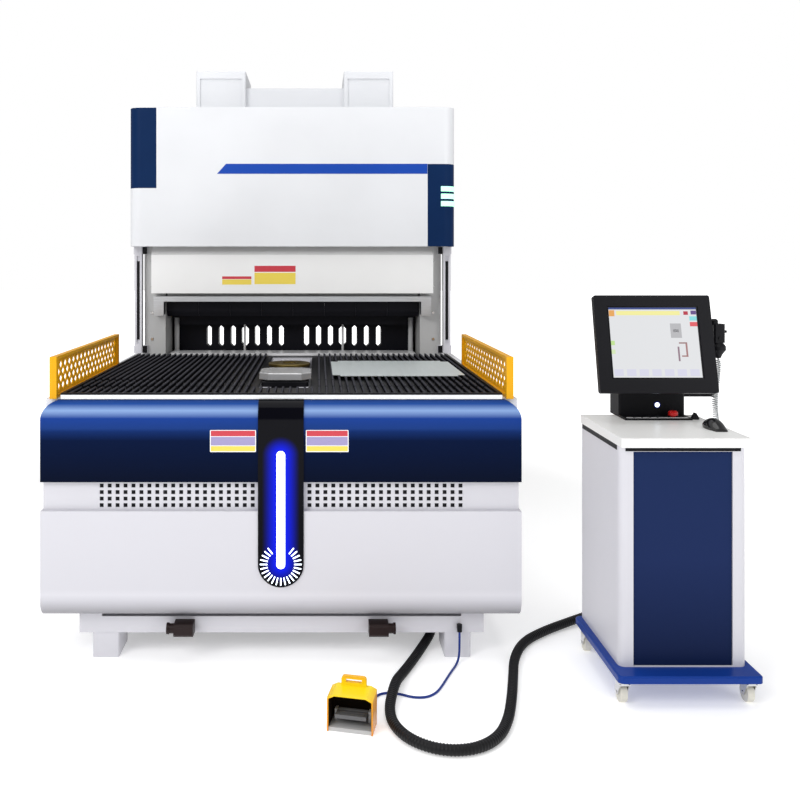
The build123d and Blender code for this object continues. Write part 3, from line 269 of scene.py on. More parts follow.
def noise(nodes, links, scale, detail=3.0, stretch=(1, 1, 1)):
    """Noise over the object's own coordinates, in metres."""
    coords = nodes.new("ShaderNodeTexCoord")
    mapping = nodes.new("ShaderNodeMapping")
    mapping.inputs["Scale"].default_value = stretch
    texture = nodes.new("ShaderNodeTexNoise")
    texture.inputs["Scale"].default_value = scale
    texture.inputs["Detail"].default_value = detail
    links.new(coords.outputs["Object"], mapping.inputs["Vector"])
    links.new(mapping.outputs["Vector"], texture.inputs["Vector"])
    return texture.outputs["Fac"]


def vary_color(nodes, links, shader, fac, color, amount):
    ramp = nodes.new("ShaderNodeValToRGB")
    ramp.color_ramp.elements[0].position = 0.3
    ramp.color_ramp.elements[1].position = 0.7
    ramp.color_ramp.elements[0].color = (*[c * (1 - amount) for c in color], 1)
    ramp.color_ramp.elements[1].color = (*[min(1, c * (1 + amount)) for c in color], 1)
    links.new(fac, ramp.inputs["Fac"])
    links.new(ramp.outputs["Color"], shader.inputs["Base Color"])


def vary_roughness(nodes, links, shader, fac, low, high):
    span = nodes.new("ShaderNodeMapRange")
    span.inputs["To Min"].default_value = low
    span.inputs["To Max"].default_value = high
    links.new(fac, span.inputs["Value"])
    links.new(span.outputs["Result"], shader.inputs["Roughness"])


def add_bump(nodes, links, shader, fac, strength, distance):
    bump = nodes.new("ShaderNodeBump")
    bump.inputs["Strength"].default_value = strength
    bump.inputs["Distance"].default_value = distance
    links.new(fac, bump.inputs["Height"])
    links.new(bump.outputs["Normal"], shader.inputs["Normal"])


def painted(name, color, roughness=0.35, coat=0.0, peel=0.08, amount=0.03, shine=0.5):
    """Powder or gloss coat with a fine orange peel and slight clouding."""
    material, nodes, links, shader = new_material(name)
    clouds = noise(nodes, links, cloud_scale)
    vary_color(nodes, links, shader, clouds, color, amount)
    shader.inputs["Specular IOR Level"].default_value = shine
    vary_roughness(nodes, links, shader, clouds, roughness - 0.04, roughness + 0.06)
    add_bump(nodes, links, shader, noise(nodes, links, peel_scale, 2), peel, peel_depth)
    shader.inputs["Coat Weight"].default_value = coat
    shader.inputs["Coat Roughness"].default_value = 0.12
    return material


def steel(name, color, roughness=0.3, stretch=(3, 160, 160), amount=0.12):
    """Ground or brushed metal, with its marks drawn out along one way."""
    material, nodes, links, shader = new_material(name)
    marks = noise(nodes, links, brush_scale, 6, stretch)
    vary_color(nodes, links, shader, marks, color, amount)
    vary_roughness(nodes, links, shader, marks, roughness - 0.08, roughness + 0.12)
    add_bump(nodes, links, shader, marks, 0.12, brush_depth)
    shader.inputs["Metallic"].default_value = 1.0
    return material


def moulded(name, color, roughness=0.5, grain=0.2, grain_scale=900, coat=0.0, shine=0.25):
    """Moulded plastic or rubber with a fine grain."""
    material, nodes, links, shader = new_material(name)
    shader.inputs["Specular IOR Level"].default_value = shine
    vary_color(nodes, links, shader, noise(nodes, links, 6), color, 0.08)
    spots = noise(nodes, links, grain_scale, 2)
    vary_roughness(nodes, links, shader, spots, roughness - 0.06, roughness + 0.08)
    add_bump(nodes, links, shader, spots, grain, grain_depth)
    shader.inputs["Coat Weight"].default_value = coat
    return material


def graded(name, stops, roughness=0.35, shine=0.1):
    """Paint whose colour runs with height, between (height, colour) stops from the bottom up; the stops
    carry painted highlights and painted shade.
    """
    material, nodes, links, shader = new_material(name)
    coords = nodes.new("ShaderNodeTexCoord")
    parts = nodes.new("ShaderNodeSeparateXYZ")
    links.new(coords.outputs["Object"], parts.inputs["Vector"])
    span = nodes.new("ShaderNodeMapRange")
    low = stops[0][0]
    high = stops[-1][0]
    span.inputs["From Min"].default_value = low
    span.inputs["From Max"].default_value = high
    links.new(parts.outputs["Z"], span.inputs["Value"])
    ramp = nodes.new("ShaderNodeValToRGB")
    marks = ramp.color_ramp.elements
    marks.remove(marks[0])
    for index, (height, color) in enumerate(stops):
        mark = marks[0] if index == 0 else marks.new(1)
        mark.position = (height - low) / (high - low)
        mark.color = (*color, 1)
    links.new(span.outputs["Result"], ramp.inputs["Fac"])
    links.new(ramp.outputs["Color"], shader.inputs["Base Color"])
    clouds = noise(nodes, links, cloud_scale)
    vary_roughness(nodes, links, shader, clouds, roughness - 0.04, roughness + 0.06)
    add_bump(nodes, links, shader, noise(nodes, links, peel_scale, 2), 0.05, peel_depth)
    shader.inputs["Specular IOR Level"].default_value = shine
    return material


def glowing(name, color, strength, base=None):
    """Lit surface, over a base of its own colour or a darker one."""
    material, nodes, links, shader = new_material(name)
    vary_color(nodes, links, shader, noise(nodes, links, 30), base or color, 0.03)
    shader.inputs["Roughness"].default_value = 0.3
    shader.inputs["Specular IOR Level"].default_value = 0.2
    shader.inputs["Emission Color"].default_value = (*color, 1)
    shader.inputs["Emission Strength"].default_value = strength
    return material


def maths(nodes, links, operation, first, second=None):
    """Result of one sum; each input is a socket or a number."""
    node = nodes.new("ShaderNodeMath")
    node.operation = operation
    for socket, value in zip(node.inputs, (first, second)):
        if isinstance(value, (int, float)):
            socket.default_value = value
        elif value:
            links.new(value, socket)
    return node.outputs["Value"]


def painted_halo_panel(name, color, glow, bar_z):
    """Black gloss panel with a painted glow of the light bar's light round the bar, by the distance from
    its middle line.
    """
    material, nodes, links, shader = new_material(name)
    vary_color(nodes, links, shader, noise(nodes, links, 4), color, 0.1)
    shader.inputs["Roughness"].default_value = 0.12
    shader.inputs["Specular IOR Level"].default_value = 0.08
    coords = nodes.new("ShaderNodeTexCoord")
    parts = nodes.new("ShaderNodeSeparateXYZ")
    links.new(coords.outputs["Object"], parts.inputs["Vector"])
    z = parts.outputs["Z"]
    above = maths(nodes, links, "MAXIMUM", maths(nodes, links, "SUBTRACT", z, bar_z[1]), 0.0)
    below = maths(nodes, links, "MAXIMUM", maths(nodes, links, "SUBTRACT", bar_z[0], z), 0.0)
    off_end = maths(nodes, links, "ADD", above, below)
    squares = [maths(nodes, links, "MULTIPLY", side, side) for side in (parts.outputs["X"], off_end)]
    distance = maths(nodes, links, "SQRT", maths(nodes, links, "ADD", *squares))
    fall = nodes.new("ShaderNodeMapRange")
    fall.interpolation_type = "SMOOTHSTEP"
    fall.inputs["From Min"].default_value = halo_start
    fall.inputs["From Max"].default_value = halo_reach
    fall.inputs["To Min"].default_value = halo_strength
    fall.inputs["To Max"].default_value = 0
    links.new(distance, fall.inputs["Value"])
    shader.inputs["Emission Color"].default_value = (*glow, 1)
    links.new(fall.outputs["Result"], shader.inputs["Emission Strength"])
    return material


def clear_plastic(name, color):
    material, nodes, links, shader = new_material(name)
    vary_color(nodes, links, shader, noise(nodes, links, 40), color, 0.05)
    shader.inputs["Roughness"].default_value = 0.25
    shader.inputs["Transmission Weight"].default_value = 0.35
    return material


bar_z = (light_bar_low + bar_radius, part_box("light_bar")[1].z - bar_radius)
finishes = {
    "white_paint": painted("white_paint", (0.62, 0.615, 0.66)),
    "cream_paint": painted("cream_paint", (0.82, 0.82, 0.82)),
    "head_grey": painted("head_grey", (0.69, 0.7, 0.725), 0.3),
    # Navy fascia with its painted highlight and painted shade running with height
    "navy_paint": graded("navy_paint", fascia_painted_light, 0.3, 0.03),
    "corner_paint": painted("corner_paint", (0.004, 0.02, 0.075), 0.4, 0.0, 0.06, 0.12, 0.05),
    "frame_grey": painted("frame_grey", (0.5, 0.5, 0.5), 0.4),
    "machined_steel": steel("machined_steel", (0.55, 0.56, 0.58)),
    "bright_steel": painted("bright_steel", (0.68, 0.68, 0.69), 0.22, 0.0, 0.02, 0.04),
    "desk_white": painted("desk_white", (0.83, 0.83, 0.82), 0.3),
    "side_white": painted("side_white", (0.8, 0.8, 0.82), 0.35),
    # White lower panel with painted shade towards its rolled-under bottom
    "panel_white": graded("panel_white", panel_painted_shade, 0.35, 0.3),
    "hood_shade": moulded("hood_shade", (0.01, 0.006, 0.004), 0.7, shine=0.05),
    "tread_grey": moulded("tread_grey", (0.13, 0.13, 0.135), 0.55, shine=0.2),
    "power_ring": moulded("power_ring", (0.01, 0.02, 0.3), 0.3),
    "tool_steel": painted("tool_steel", (0.007, 0.007, 0.011), 0.4, shine=0.12),
    "black_steel": painted("black_steel", (0.006, 0.006, 0.008), 0.45, shine=0.12),
    "guard_yellow": painted("guard_yellow", (0.78, 0.38, 0.004), 0.35, 0.0, shine=0.2),
    # Yellow pedal hood with its painted highlight and painted shade running with height
    "pedal_yellow": graded("pedal_yellow", pedal_painted_light, 0.25, 0.3),
    "black_plastic": moulded("black_plastic", (0.006, 0.006, 0.008), 0.42, shine=0.15),
    "black_gloss": painted_halo_panel("black_gloss", (0.001, 0.001, 0.003), (0.0, 0.012, 1.0), bar_z),
    "mouse_gloss": moulded("mouse_gloss", (0.004, 0.004, 0.005), 0.15, 0.02, 400, 0.3),
    "brush_bristle": moulded("brush_bristle", (0.003, 0.003, 0.004), 0.6, 0.5, 1800, shine=0.08),
    "white_light": glowing("white_light", (0.82, 0.9, 1.0), 2.2),
    "lamp_light": glowing("lamp_light", (0.42, 1.0, 0.66), 1.0),
    "disc_brass": steel("disc_brass", (0.2, 0.15, 0.05), 0.35, (60, 60, 60)),
    "block_steel": painted("block_steel", (0.56, 0.56, 0.57), 0.25, 0.0, 0.02, 0.12),
    "blank_steel": steel("blank_steel", (0.6, 0.65, 0.65), 0.35, (90, 2, 2), 0.06),
    "tray_blue": painted("tray_blue", (0.006, 0.04, 0.26), 0.35, shine=0.15),
    # Console blue with painted shade towards the floor
    "panel_blue": graded("panel_blue", console_painted_shade, 0.35, 0.04),
    "screen_glass": moulded("screen_glass", (0.006, 0.006, 0.008), 0.15, 0.0, shine=0.15),
    "red_plastic": moulded("red_plastic", (0.6, 0.01, 0.01), 0.3, 0.05, 500, 0.3),
    "caster_chrome": steel("caster_chrome", (0.62, 0.62, 0.62), 0.18, (40, 40, 40), 0.05),
    "wheel_tread": moulded("wheel_tread", (0.7, 0.68, 0.6), 0.4),
    "hose_rubber": moulded("hose_rubber", (0.008, 0.008, 0.009), 0.4, shine=0.2),
    "cable_blue": moulded("cable_blue", (0.012, 0.035, 0.22), 0.4),
    "curly_grey": clear_plastic("curly_grey", (0.72, 0.74, 0.75)),
    "stripe_blue": painted("stripe_blue", (0.006, 0.055, 0.36), 0.35, shine=0.2),
    "bollard_red": moulded("bollard_red", (0.014, 0.005, 0.005), 0.4, 0.2, 400),
    "plate_white": painted("plate_white", (0.86, 0.87, 0.88), 0.25),
    "plate_lilac": painted("plate_lilac", (0.32, 0.28, 0.5), 0.3),
    "plate_yellow": painted("plate_yellow", (0.8, 0.62, 0.08), 0.3),
    "plate_red": painted("plate_red", (0.55, 0.03, 0.05), 0.3),
    # Paler finish for the upper part of the tufts: a painted highlight on the bristle tips
    "bristle_tip_highlight": moulded("bristle_tip_highlight", (0.045, 0.045, 0.055), 0.6, 0.5, 1800, shine=0.1),
}
finishes["blank_steel"].node_tree.nodes["Principled BSDF"].inputs["Metallic"].default_value = 0.3
finishes["block_steel"].node_tree.nodes["Principled BSDF"].inputs["Metallic"].default_value = 0.35
node_finish = {sub["node"]: sub["material_slot"] for sub in frame["record"]["subparts"]}
node_finish["mouse"] = "mouse_gloss"
node_finish["lifting_lugs"] = "bollard_red"
node_finish["bending_blades"] = "tool_steel"
node_finish["manipulator_carriage"] = "black_steel"
node_finish["lower_tool"] = "bright_steel"
node_finish["console_desk"] = "desk_white"
node_finish["side_covers"] = "side_white"
node_finish["pedal_treadle"] = "tread_grey"
node_finish["lower_front_panel"] = "panel_white"
node_finish["power_button"] = "power_ring"
for node, finish in node_finish.items():
    for material_slot in frame["nodes"][node].material_slots:
        material_slot.material = finishes[finish]


# Building blocks for the dressing pieces

def piece(name, mesh, finish, body="machine"):
    """Object at the row's origin, on its body, with one of the finishes above."""
    obj = bpy.data.objects.new(name, mesh)
    bpy.context.collection.objects.link(obj)
    for each in [finish] if isinstance(finish, str) else finish:
        mesh.materials.append(finishes[each])
    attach(obj, body)
    return obj


def mesh_of(bm, name):
    mesh = bpy.data.meshes.new(name)
    bm.normal_update()
    bm.to_mesh(mesh)
    bm.free()
    return mesh


def add_prism(bm, outline, place, depth_vector, material_index=0):
    """Closed prism: an outline of points, moved along a vector."""
    low = [bm.verts.new(place @ Vector(point)) for point in outline]
    high = [bm.verts.new(vert.co + depth_vector) for vert in low]
    faces = [bm.faces.new(low[::-1]), bm.faces.new(high)]
    for index, vert in enumerate(low):
        after = (index + 1) % len(low)
        faces.append(bm.faces.new((vert, low[after], high[after], high[index])))
    for face in faces:
        face.material_index = material_index
    return faces


def rounded_outline(x, z, radius, steps=5):
    """Rectangle in X and Z with round corners, as points at Y = 0."""
    points = []
    corners = ((x[1] - radius, z[1] - radius, 0), (x[0] + radius, z[1] - radius, 90),
               (x[0] + radius, z[0] + radius, 180), (x[1] - radius, z[0] + radius, 270))
    for cx, cz, start in corners:
        for step in range(steps + 1):
            turn = radians(start + 90 * step / steps)
            points.append((cx + radius * cos(turn), 0, cz + radius * sin(turn)))
    return points


def ring_of(sides):
    """Unit circle as pairs of cosine and sine."""
    turns = [2 * pi * index / sides for index in range(sides)]
    return [(cos(turn), sin(turn)) for turn in turns]


def add_disc(bm, centre, radius, height, sides, material_index=0):
    """Upright cylinder from the middle of its underside."""
    x, y, z = centre
    outline = [(x + radius * c, y + radius * s, z) for c, s in ring_of(sides)]
    add_prism(bm, outline, Matrix.Identity(4), Vector((0, 0, height)), material_index)


def front_plate(bm, x, z, y, thickness, radius, material_index=0):
    """Plate that lies on a front face at Y = y and stands out towards the operator."""
    outline = [(px, y - thickness, pz) for px, _, pz in rounded_outline(x, z, radius)]
    add_prism(bm, outline, Matrix.Identity(4), Vector((0, thickness, 0)), material_index)


def join_loops(bm, loops):
    """Walls between successive loops of points and a cap on each end; returns walls and top."""
    sides = len(loops[0])
    walls = []
    for lower, upper in zip(loops, loops[1:]):
        for i in range(sides):
            j = (i + 1) % sides
            walls.append(bm.faces.new((lower[i], lower[j], upper[j], upper[i])))
    top = bm.faces.new(loops[-1])
    bm.faces.new(loops[0][::-1])
    return walls, top


def add_bolt(bm, centre, axis, radius, height):
    """Socket screw's head: a chamfered cap with a sunk middle."""
    turn = Vector(axis).to_track_quat("Z", "Y").to_matrix().to_4x4()
    place = Matrix.Translation(centre) @ turn
    rings = ((radius, 0), (radius, height * 0.8), (radius * 0.88, height), (radius * 0.5, height),
             (radius * 0.5, height * 0.35))
    loops = []
    for r, h in rings:
        loops.append([bm.verts.new(place @ Vector((r * c, r * s, h))) for c, s in ring_of(bolt_sides)])
    join_loops(bm, loops)


# Cords

def spline_curve(name, points):
    """Smooth curve whose control points are a cord's route."""
    curve = bpy.data.curves.new(name, "CURVE")
    curve.dimensions = "3D"
    curve.resolution_u = 16
    spline = curve.splines.new("NURBS")
    spline.points.add(len(points) - 1)
    for target, point in zip(spline.points, points):
        target.co = (*point, 1)
    spline.order_u = 3
    spline.use_endpoint_u = True
    return curve


def line_points(name, points):
    """Points along a route's smooth line."""
    curve = spline_curve(name, points)
    helper = bpy.data.objects.new(name, curve)
    bpy.context.collection.objects.link(helper)
    bpy.context.view_layer.update()
    evaluated = helper.evaluated_get(bpy.context.evaluated_depsgraph_get())
    mesh = bpy.data.meshes.new_from_object(evaluated)
    line = [vert.co.copy() for vert in mesh.vertices]
    bpy.data.objects.remove(helper)
    bpy.data.meshes.remove(mesh)
    return line


def even_points(line, spacing):
    """The same line at even steps of its length."""
    total = sum((b - a).length for a, b in zip(line, line[1:]))
    count = max(2, round(total / spacing))
    step = total / count
    points = [line[0].copy()]
    travelled = 0.0
    target = step
    for a, b in zip(line, line[1:]):
        run = (b - a).length
        while run > 0 and travelled + run >= target - 1e-9 and len(points) < count:
            points.append(a.lerp(b, (target - travelled) / run))
            target += step
        travelled += run
    points.append(line[-1].copy())
    return points


def carried_frames(points):
    """Directions across a line that turn with it and never twist."""
    tangents = []
    for index in range(len(points)):
        ahead = points[min(index + 1, len(points) - 1)]
        behind = points[max(index - 1, 0)]
        tangents.append((ahead - behind).normalized())
    across = tangents[0].orthogonal().normalized()
    frames = []
    for tangent in tangents:
        across = (across - tangent * across.dot(tangent)).normalized()
        frames.append((across, tangent.cross(across)))
    return frames


def tube(name, points, radii, sides):
    """Closed tube along a line, with a radius at each point."""
    bm = bmesh.new()
    loops = []
    for point, radius, (u, v) in zip(points, radii, carried_frames(points)):
        loops.append([bm.verts.new(point + radius * (c * u + s * v)) for c, s in ring_of(sides)])
    walls, _ = join_loops(bm, loops)
    for face in walls:
        face.smooth = True
    return mesh_of(bm, name)


def corrugated_hose():
    line = line_points("hose_line", hose_route)
    points = even_points(line, hose_ring_pitch / 4)
    outer = hose_diameter / 2
    profile = (0, 0.75, 1, 0.75)
    radii = [outer - hose_ring_depth * profile[index % 4] for index in range(len(points))]
    mesh = tube("corrugated_hose", points, radii, 16)
    hose = piece("corrugated_hose", mesh, "hose_rubber")
    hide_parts("hose")


def pedal_lead():
    curve = spline_curve("pedal_lead", cable_route)
    curve.bevel_depth = cable_diameter / 2
    curve.bevel_resolution = 5
    curve.use_fill_caps = True
    lead = piece("pedal_lead", curve, "cable_blue")
    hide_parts("pedal_cable")


def curly_lead():
    """Helix of wire round the cord's line, with its ends drawn in to the middle."""
    line = line_points("curly_line", curl_route)
    points = even_points(line, curl_pitch / curl_steps)
    frames = carried_frames(points)
    coil = (curl_outer - curl_wire) / 2
    helix = []
    for index, (point, (u, v)) in enumerate(zip(points, frames)):
        turn = 2 * pi * index / curl_steps
        ease = min(1, index / (2 * curl_steps), (len(points) - 1 - index) / (2 * curl_steps))
        helix.append(point + coil * ease * (cos(turn) * u + sin(turn) * v))
    mesh = tube("curly_lead", helix, [curl_wire / 2] * len(helix), 8)
    lead = piece("curly_lead", mesh, "curly_grey")
    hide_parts("curly_cord")


# Dressing of the machine

def head_stripe():
    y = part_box("head_cover")[0].y
    bottom, top = stripe_z
    corners = ((stripe_left[0], bottom), (stripe_right, bottom), (stripe_right, top),
               (stripe_left[1], top))
    outline = [(x, y - stripe_thickness, z) for x, z in corners]
    bm = bmesh.new()
    add_prism(bm, outline, Matrix.Identity(4), Vector((0, stripe_thickness, 0)))
    piece("head_stripe", mesh_of(bm, "head_stripe"), "stripe_blue")


def bare_plates():
    for name, node, body, places, bands in (
            ("cover_plates", "ram_cover", "ram", cover_plates, cover_bands),
            ("fascia_plates", "front_fascia", "machine", fascia_plates, fascia_bands)):
        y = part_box(node)[0].y
        bm = bmesh.new()
        for left, right, bottom, top in places:
            height = top - bottom
            front_plate(bm, (left, right), (bottom, top), y, plate_thickness, plate_corner)
            for low, high, index in bands:
                front_plate(bm, (left + plate_edge, right - plate_edge),
                            (bottom + low * height, bottom + high * height),
                            y - plate_thickness, band_thickness, band_corner, index)
        plate_colors = ["plate_white", "plate_red", "plate_lilac", "plate_yellow"]
        piece(name, mesh_of(bm, name), plate_colors, body)


def bristles():
    """Tufts of bristle over each strip of the brush table."""
    solid = frame["nodes"]["brush_strips"].data
    strips = {}
    for polygon in solid.polygons:
        if polygon.normal.z < 0.9:
            continue
        corners = [solid.vertices[index].co for index in polygon.vertices]
        middle_x = (min(c.x for c in corners) + max(c.x for c in corners)) / 2
        front = min(c.y for c in corners)
        key = (round(middle_x, 4), round(front, 4))
        strips[key] = max(strips.get(key, front), max(c.y for c in corners))
    low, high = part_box("brush_strips")
    random = Random(tuft_seed)
    bm = bmesh.new()
    for (x, front), rear in strips.items():
        count = max(1, round((rear - front) / tuft_pitch))
        for index in range(count):
            y = front + (index + 0.5) * (rear - front) / count
            add_tuft(bm, x, y, low.z, high.z, random)
    tufts = piece("brush_tufts", mesh_of(bm, "brush_tufts"), ["brush_bristle", "bristle_tip_highlight"])
    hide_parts("brush_strips")


def add_tuft(bm, x, y, low, high, random):
    """One tuft: a narrow foot that spreads to a slanted, slightly uneven top."""
    lean = tuft_lean * (0.4 + 0.6 * random.random())
    rings = ((tuft_base, low, 0), (tuft_radius * tuft_waist, high - tuft_tip_height, lean * tuft_bend),
             (tuft_radius * tuft_tip, high, lean))
    loops = []
    for radius, z, shift in rings:
        middle_y = y - tuft_lean / 2 + shift
        loops.append([bm.verts.new((x + tuft_squash * radius * c, middle_y + radius * s, z))
                      for c, s in ring_of(tuft_sides)])
    walls, top = join_loops(bm, loops)
    # The upper walls and the top take the paler finish, a painted highlight on the tuft tips
    for face in [*walls[tuft_sides:], top]:
        face.material_index = 1


def frame_bolts():
    """Socket screws down the front edges of the press columns."""
    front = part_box("press_frame")[0].y
    bm = bmesh.new()
    for side in (-1, 1):
        for z in bolt_z:
            add_bolt(bm, (side * bolt_x, front, z), (0, -1, 0), bolt_radius, bolt_height)
    piece("frame_bolts", mesh_of(bm, "frame_bolts"), "caster_chrome")


def screen_face():
    """Fields of colour on the screen, which leans with the monitor."""
    glass = frame["nodes"]["screen"].data
    front = [polygon for polygon in glass.polygons if polygon.normal.y < -0.9]
    normal = front[0].normal.copy()
    corners = [glass.vertices[index].co for polygon in front for index in polygon.vertices]
    left = min(c.x for c in corners)
    right = max(c.x for c in corners)
    bottom = min(corners, key=lambda c: c.z)
    top = max(corners, key=lambda c: c.z)
    up = Vector((0, top.y - bottom.y, top.z - bottom.z))
    origin = Vector((left, bottom.y, bottom.z)) + normal * screen_back_lift
    across = Vector((right - left, 0, 0))
    margin = screen_edge / (right - left)
    bm = bmesh.new()
    colors = [screen_back]
    add_field(bm, origin, across, up, (margin, 1 - margin, margin, 1 - margin), 0)
    fields = list(screen_fields)
    for index in range(screen_keys):
        start = screen_key_start + index * screen_key_span / screen_keys
        fields.append((start, start + screen_key_width, *screen_key_row, screen_key_color))
    for left_share, right_share, low_share, high_share, color in fields:
        if color not in colors:
            colors.append(color)
        shares = (max(left_share, margin), min(right_share, 1 - margin), low_share,
                  min(high_share, 1 - margin))
        add_field(bm, origin + normal * screen_field_lift, across, up, shares, colors.index(color))
    names = [f"screen_{index}" for index in range(len(colors))]
    for name, color in zip(names, colors):
        finishes[name] = glowing(name, color, screen_glow, screen_off)
    piece("screen_face", mesh_of(bm, "screen_face"), names, "display")


def add_field(bm, origin, across, up, shares, material_index):
    left, right, low, high = shares
    corners = ((left, low), (right, low), (right, high), (left, high))
    face = bm.faces.new([bm.verts.new(origin + across * u + up * v) for u, v in corners])
    face.material_index = material_index


def add_box(bm, x, y, z, place=None, material_index=0):
    """Box between two values each way, which a place may turn and move."""
    outline = [(x[0], y[0], z[0]), (x[1], y[0], z[0]), (x[1], y[0], z[1]), (x[0], y[0], z[1])]
    place = place or Matrix.Identity(4)
    depth_vector = place.to_3x3() @ Vector((0, y[1] - y[0], 0))
    return add_prism(bm, outline, place, depth_vector, material_index)


def table_edge():
    """Pale strip along the front of the table, and the dark sheet of painted shade seen through the
    band's holes.
    """
    half, bottom, top = apron_strip
    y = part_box("table_apron")[0].y
    bm = bmesh.new()
    add_box(bm, (-half, half), (y - sheet_thickness, y), (bottom, top))
    piece("apron_strip", mesh_of(bm, "apron_strip"), "plate_white")
    inner, outer, bottom, top = band_shade_sheet
    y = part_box("perforated_band")[0].y + band_depth
    bm = bmesh.new()
    for side in (-1, 1):
        add_box(bm, sorted((side * inner, side * outer)), (y, y + sheet_thickness), (bottom, top))
    piece("band_shade_sheet", mesh_of(bm, "band_shade_sheet"), "black_steel")


def bright_rods():
    """Sleeves on the four rods that join the arms of the bending unit."""
    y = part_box("blade_frame")[0].y + rod_inset
    bm = bmesh.new()
    for x, radius, bottom, top in rod_sleeves:
        for side in (-1, 1):
            add_disc(bm, (side * x, y, bottom), radius, top - bottom, rod_sides)
    piece("rod_sleeves", mesh_of(bm, "rod_sleeves"), "bright_steel", "bender")


def curtain_dressing():
    """Lens strips in the posts, a painted shadow line along their inner edge and the caps on the
    brackets.
    """
    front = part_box("curtain_posts")[0].y
    shadow_z = (bracket_cap_z[0][1], bracket_cap_z[1][0])
    boxes = [(post_lens_x, post_lens_y, post_lens_z), (post_shadow_x, post_shadow_y, shadow_z)]
    boxes += [(bracket_cap_x, bracket_cap_y, cap_z) for cap_z in bracket_cap_z]
    bm = bmesh.new()
    for side in (-1, 1):
        for x, y, z in boxes:
            add_box(bm, sorted((side * x[0], side * x[1])), (front + y[0], front + y[1]), z)
    piece("curtain_trim", mesh_of(bm, "curtain_trim"), "black_plastic")


def pedal_shade_sheet():
    """Painted shade: thin dark sheets on the inside of the pedal's hood."""
    place = Matrix.Translation(pedal_place) @ Matrix.Rotation(radians(pedal_turn), 4, "Z")
    half = hood_half_width
    rear = hood_y[1]
    bm = bmesh.new()
    add_box(bm, (-half, half), (rear, rear + hood_shade_thickness), (hood_bottom, hood_back_top), place)
    for side in (-1, 1):
        x = sorted((side * half, side * (half - hood_shade_thickness)))
        add_box(bm, x, hood_y, (hood_bottom, hood_side_top), place)
    roof_x = (-hood_roof_half_width, hood_roof_half_width)
    add_box(bm, roof_x, hood_y, (hood_roof, hood_roof + hood_shade_thickness), place)
    piece("pedal_shade_sheet", mesh_of(bm, "pedal_shade_sheet"), "hood_shade")


def desk_shadow_band():
    """Painted shadow: a dark band between the cabinet and the desk, round the front and the left side.
    """
    low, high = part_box("console_cabinet")
    left, right = cabinet_x
    front = (low.y - desk_shadow_band_thickness, low.y)
    side_y = (low.y + desk_shadow_band_side[0], high.y - desk_shadow_band_side[1])
    bm = bmesh.new()
    add_box(bm, (left + desk_shadow_band_inset, right - desk_shadow_band_inset), front, desk_shadow_band_z)
    add_box(bm, (left - desk_shadow_band_thickness, left), side_y, desk_shadow_band_z)
    piece("desk_shadow_band", mesh_of(bm, "desk_shadow_band"), "black_steel")


def console_controls():
    """Strip with plain studs on the foot of the stand, and the lens of the power button."""
    front = control_strip_front
    bm = bmesh.new()
    add_box(bm, control_strip_x, (front, front + control_strip_depth), control_strip_z)
    for x in control_studs:
        foot = (x, front + control_strip_depth / 2, control_strip_z[1])
        add_disc(bm, foot, stud_radius, stud_height, stud_sides, 1)
    finish = ["bright_steel", "black_plastic"]
    piece("control_strip", mesh_of(bm, "control_strip"), finish)
    low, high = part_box("power_button")
    centre = (low + high) / 2
    face = low.y - power_lens_height
    outline = [(centre.x + power_lens_radius * c, face, centre.z + power_lens_radius * s)
               for c, s in ring_of(power_lens_sides)]
    bm = bmesh.new()
    add_prism(bm, outline, Matrix.Identity(4), Vector((0, power_lens_height, 0)))
    piece("power_lens", mesh_of(bm, "power_lens"), "white_light", "power")


# Stage

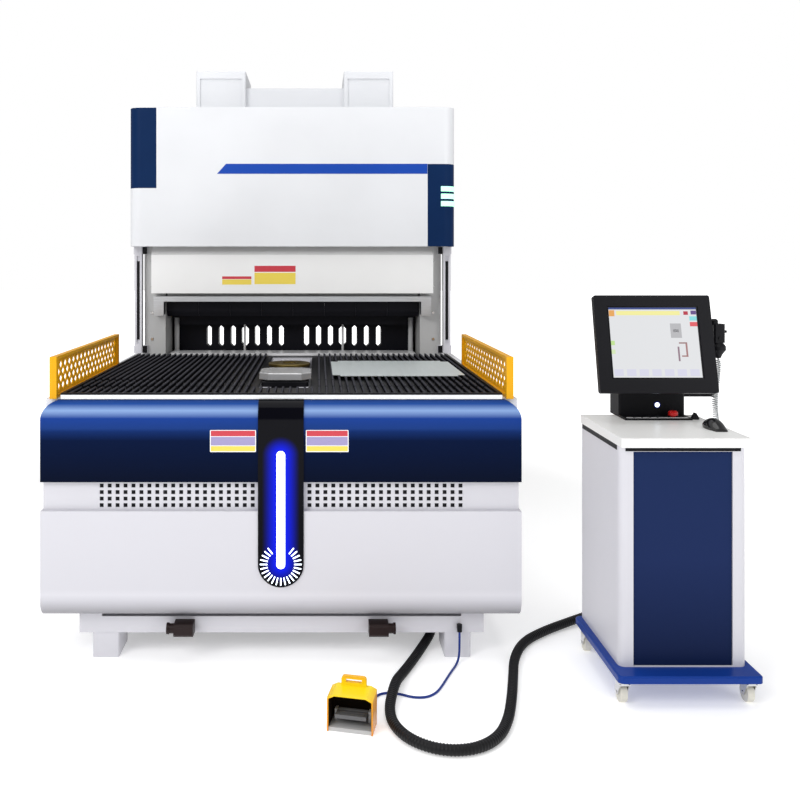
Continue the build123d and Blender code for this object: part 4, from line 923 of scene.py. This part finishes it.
def stage():
    floor_mesh = bpy.data.meshes.new("floor")
    corners = [(floor_x[i], floor_y[j], 0) for i, j in ((0, 0), (1, 0), (1, 1), (0, 1))]
    floor_mesh.from_pydata(corners, [], [(0, 1, 2, 3)])
    floor = bpy.data.objects.new("floor", floor_mesh)
    bpy.context.collection.objects.link(floor)
    material, nodes, links, shader = new_material("floor_white")
    vary_color(nodes, links, shader, noise(nodes, links, 1), (0.93, 0.93, 0.93), 0.01)
    shader.inputs["Roughness"].default_value = 0.6
    shader.inputs["Emission Color"].default_value = (1, 1, 1, 1)
    coords = nodes.new("ShaderNodeTexCoord")
    away = nodes.new("ShaderNodeVectorMath")
    away.operation = "LENGTH"
    links.new(coords.outputs["Object"], away.inputs[0])
    rise = nodes.new("ShaderNodeMapRange")
    for name, value in zip(("From Min", "From Max", "To Min", "To Max"), floor_glow):
        rise.inputs[name].default_value = value
    links.new(away.outputs["Value"], rise.inputs["Value"])
    links.new(rise.outputs["Result"], shader.inputs["Emission Strength"])
    floor_mesh.materials.append(material)
    world = bpy.data.worlds.new("studio")
    bpy.context.scene.world = world
    world.use_nodes = True
    nodes = world.node_tree.nodes
    background = nodes["Background"]
    background.inputs["Color"].default_value = (1, 1, 1, 1)
    background.inputs["Strength"].default_value = world_strength
    links = world.node_tree.links
    behind = nodes.new("ShaderNodeBackground")
    behind.inputs["Color"].default_value = (1, 1, 1, 1)
    path = nodes.new("ShaderNodeLightPath")
    choice = nodes.new("ShaderNodeMixShader")
    links.new(path.outputs["Is Camera Ray"], choice.inputs["Fac"])
    links.new(background.outputs["Background"], choice.inputs[1])
    links.new(behind.outputs["Background"], choice.inputs[2])
    links.new(choice.outputs["Shader"], nodes["World Output"].inputs["Surface"])


def soft_light(name, place, target, size, power):
    data = bpy.data.lights.new(name, "AREA")
    data.shape = "RECTANGLE"
    data.size = size[0]
    data.size_y = size[1]
    data.energy = power
    lamp = bpy.data.objects.new(name, data)
    lamp.location = place
    lamp.rotation_euler = (Vector(target) - Vector(place)).to_track_quat("-Z", "Y").to_euler()
    bpy.context.collection.objects.link(lamp)


def camera():
    data = bpy.data.cameras.new("camera")
    data.sensor_width = camera_sensor
    data.lens = camera_lens
    data.shift_x = camera_shift[0]
    data.shift_y = camera_shift[1]
    data.clip_end = 100
    view = bpy.data.objects.new("camera", data)
    view.location = camera_place
    view.rotation_euler = (radians(90), 0, 0)
    bpy.context.collection.objects.link(view)
    bpy.context.scene.camera = view


camera()
stage()
for lamp in lamps:
    soft_light(*lamp)
bpy.context.scene.view_settings.view_transform = "Standard"

corrugated_hose()
pedal_lead()
curly_lead()
head_stripe()
bare_plates()
bristles()
frame_bolts()
screen_face()
table_edge()
bright_rods()
curtain_dressing()
pedal_shade_sheet()
desk_shadow_band()
console_controls()
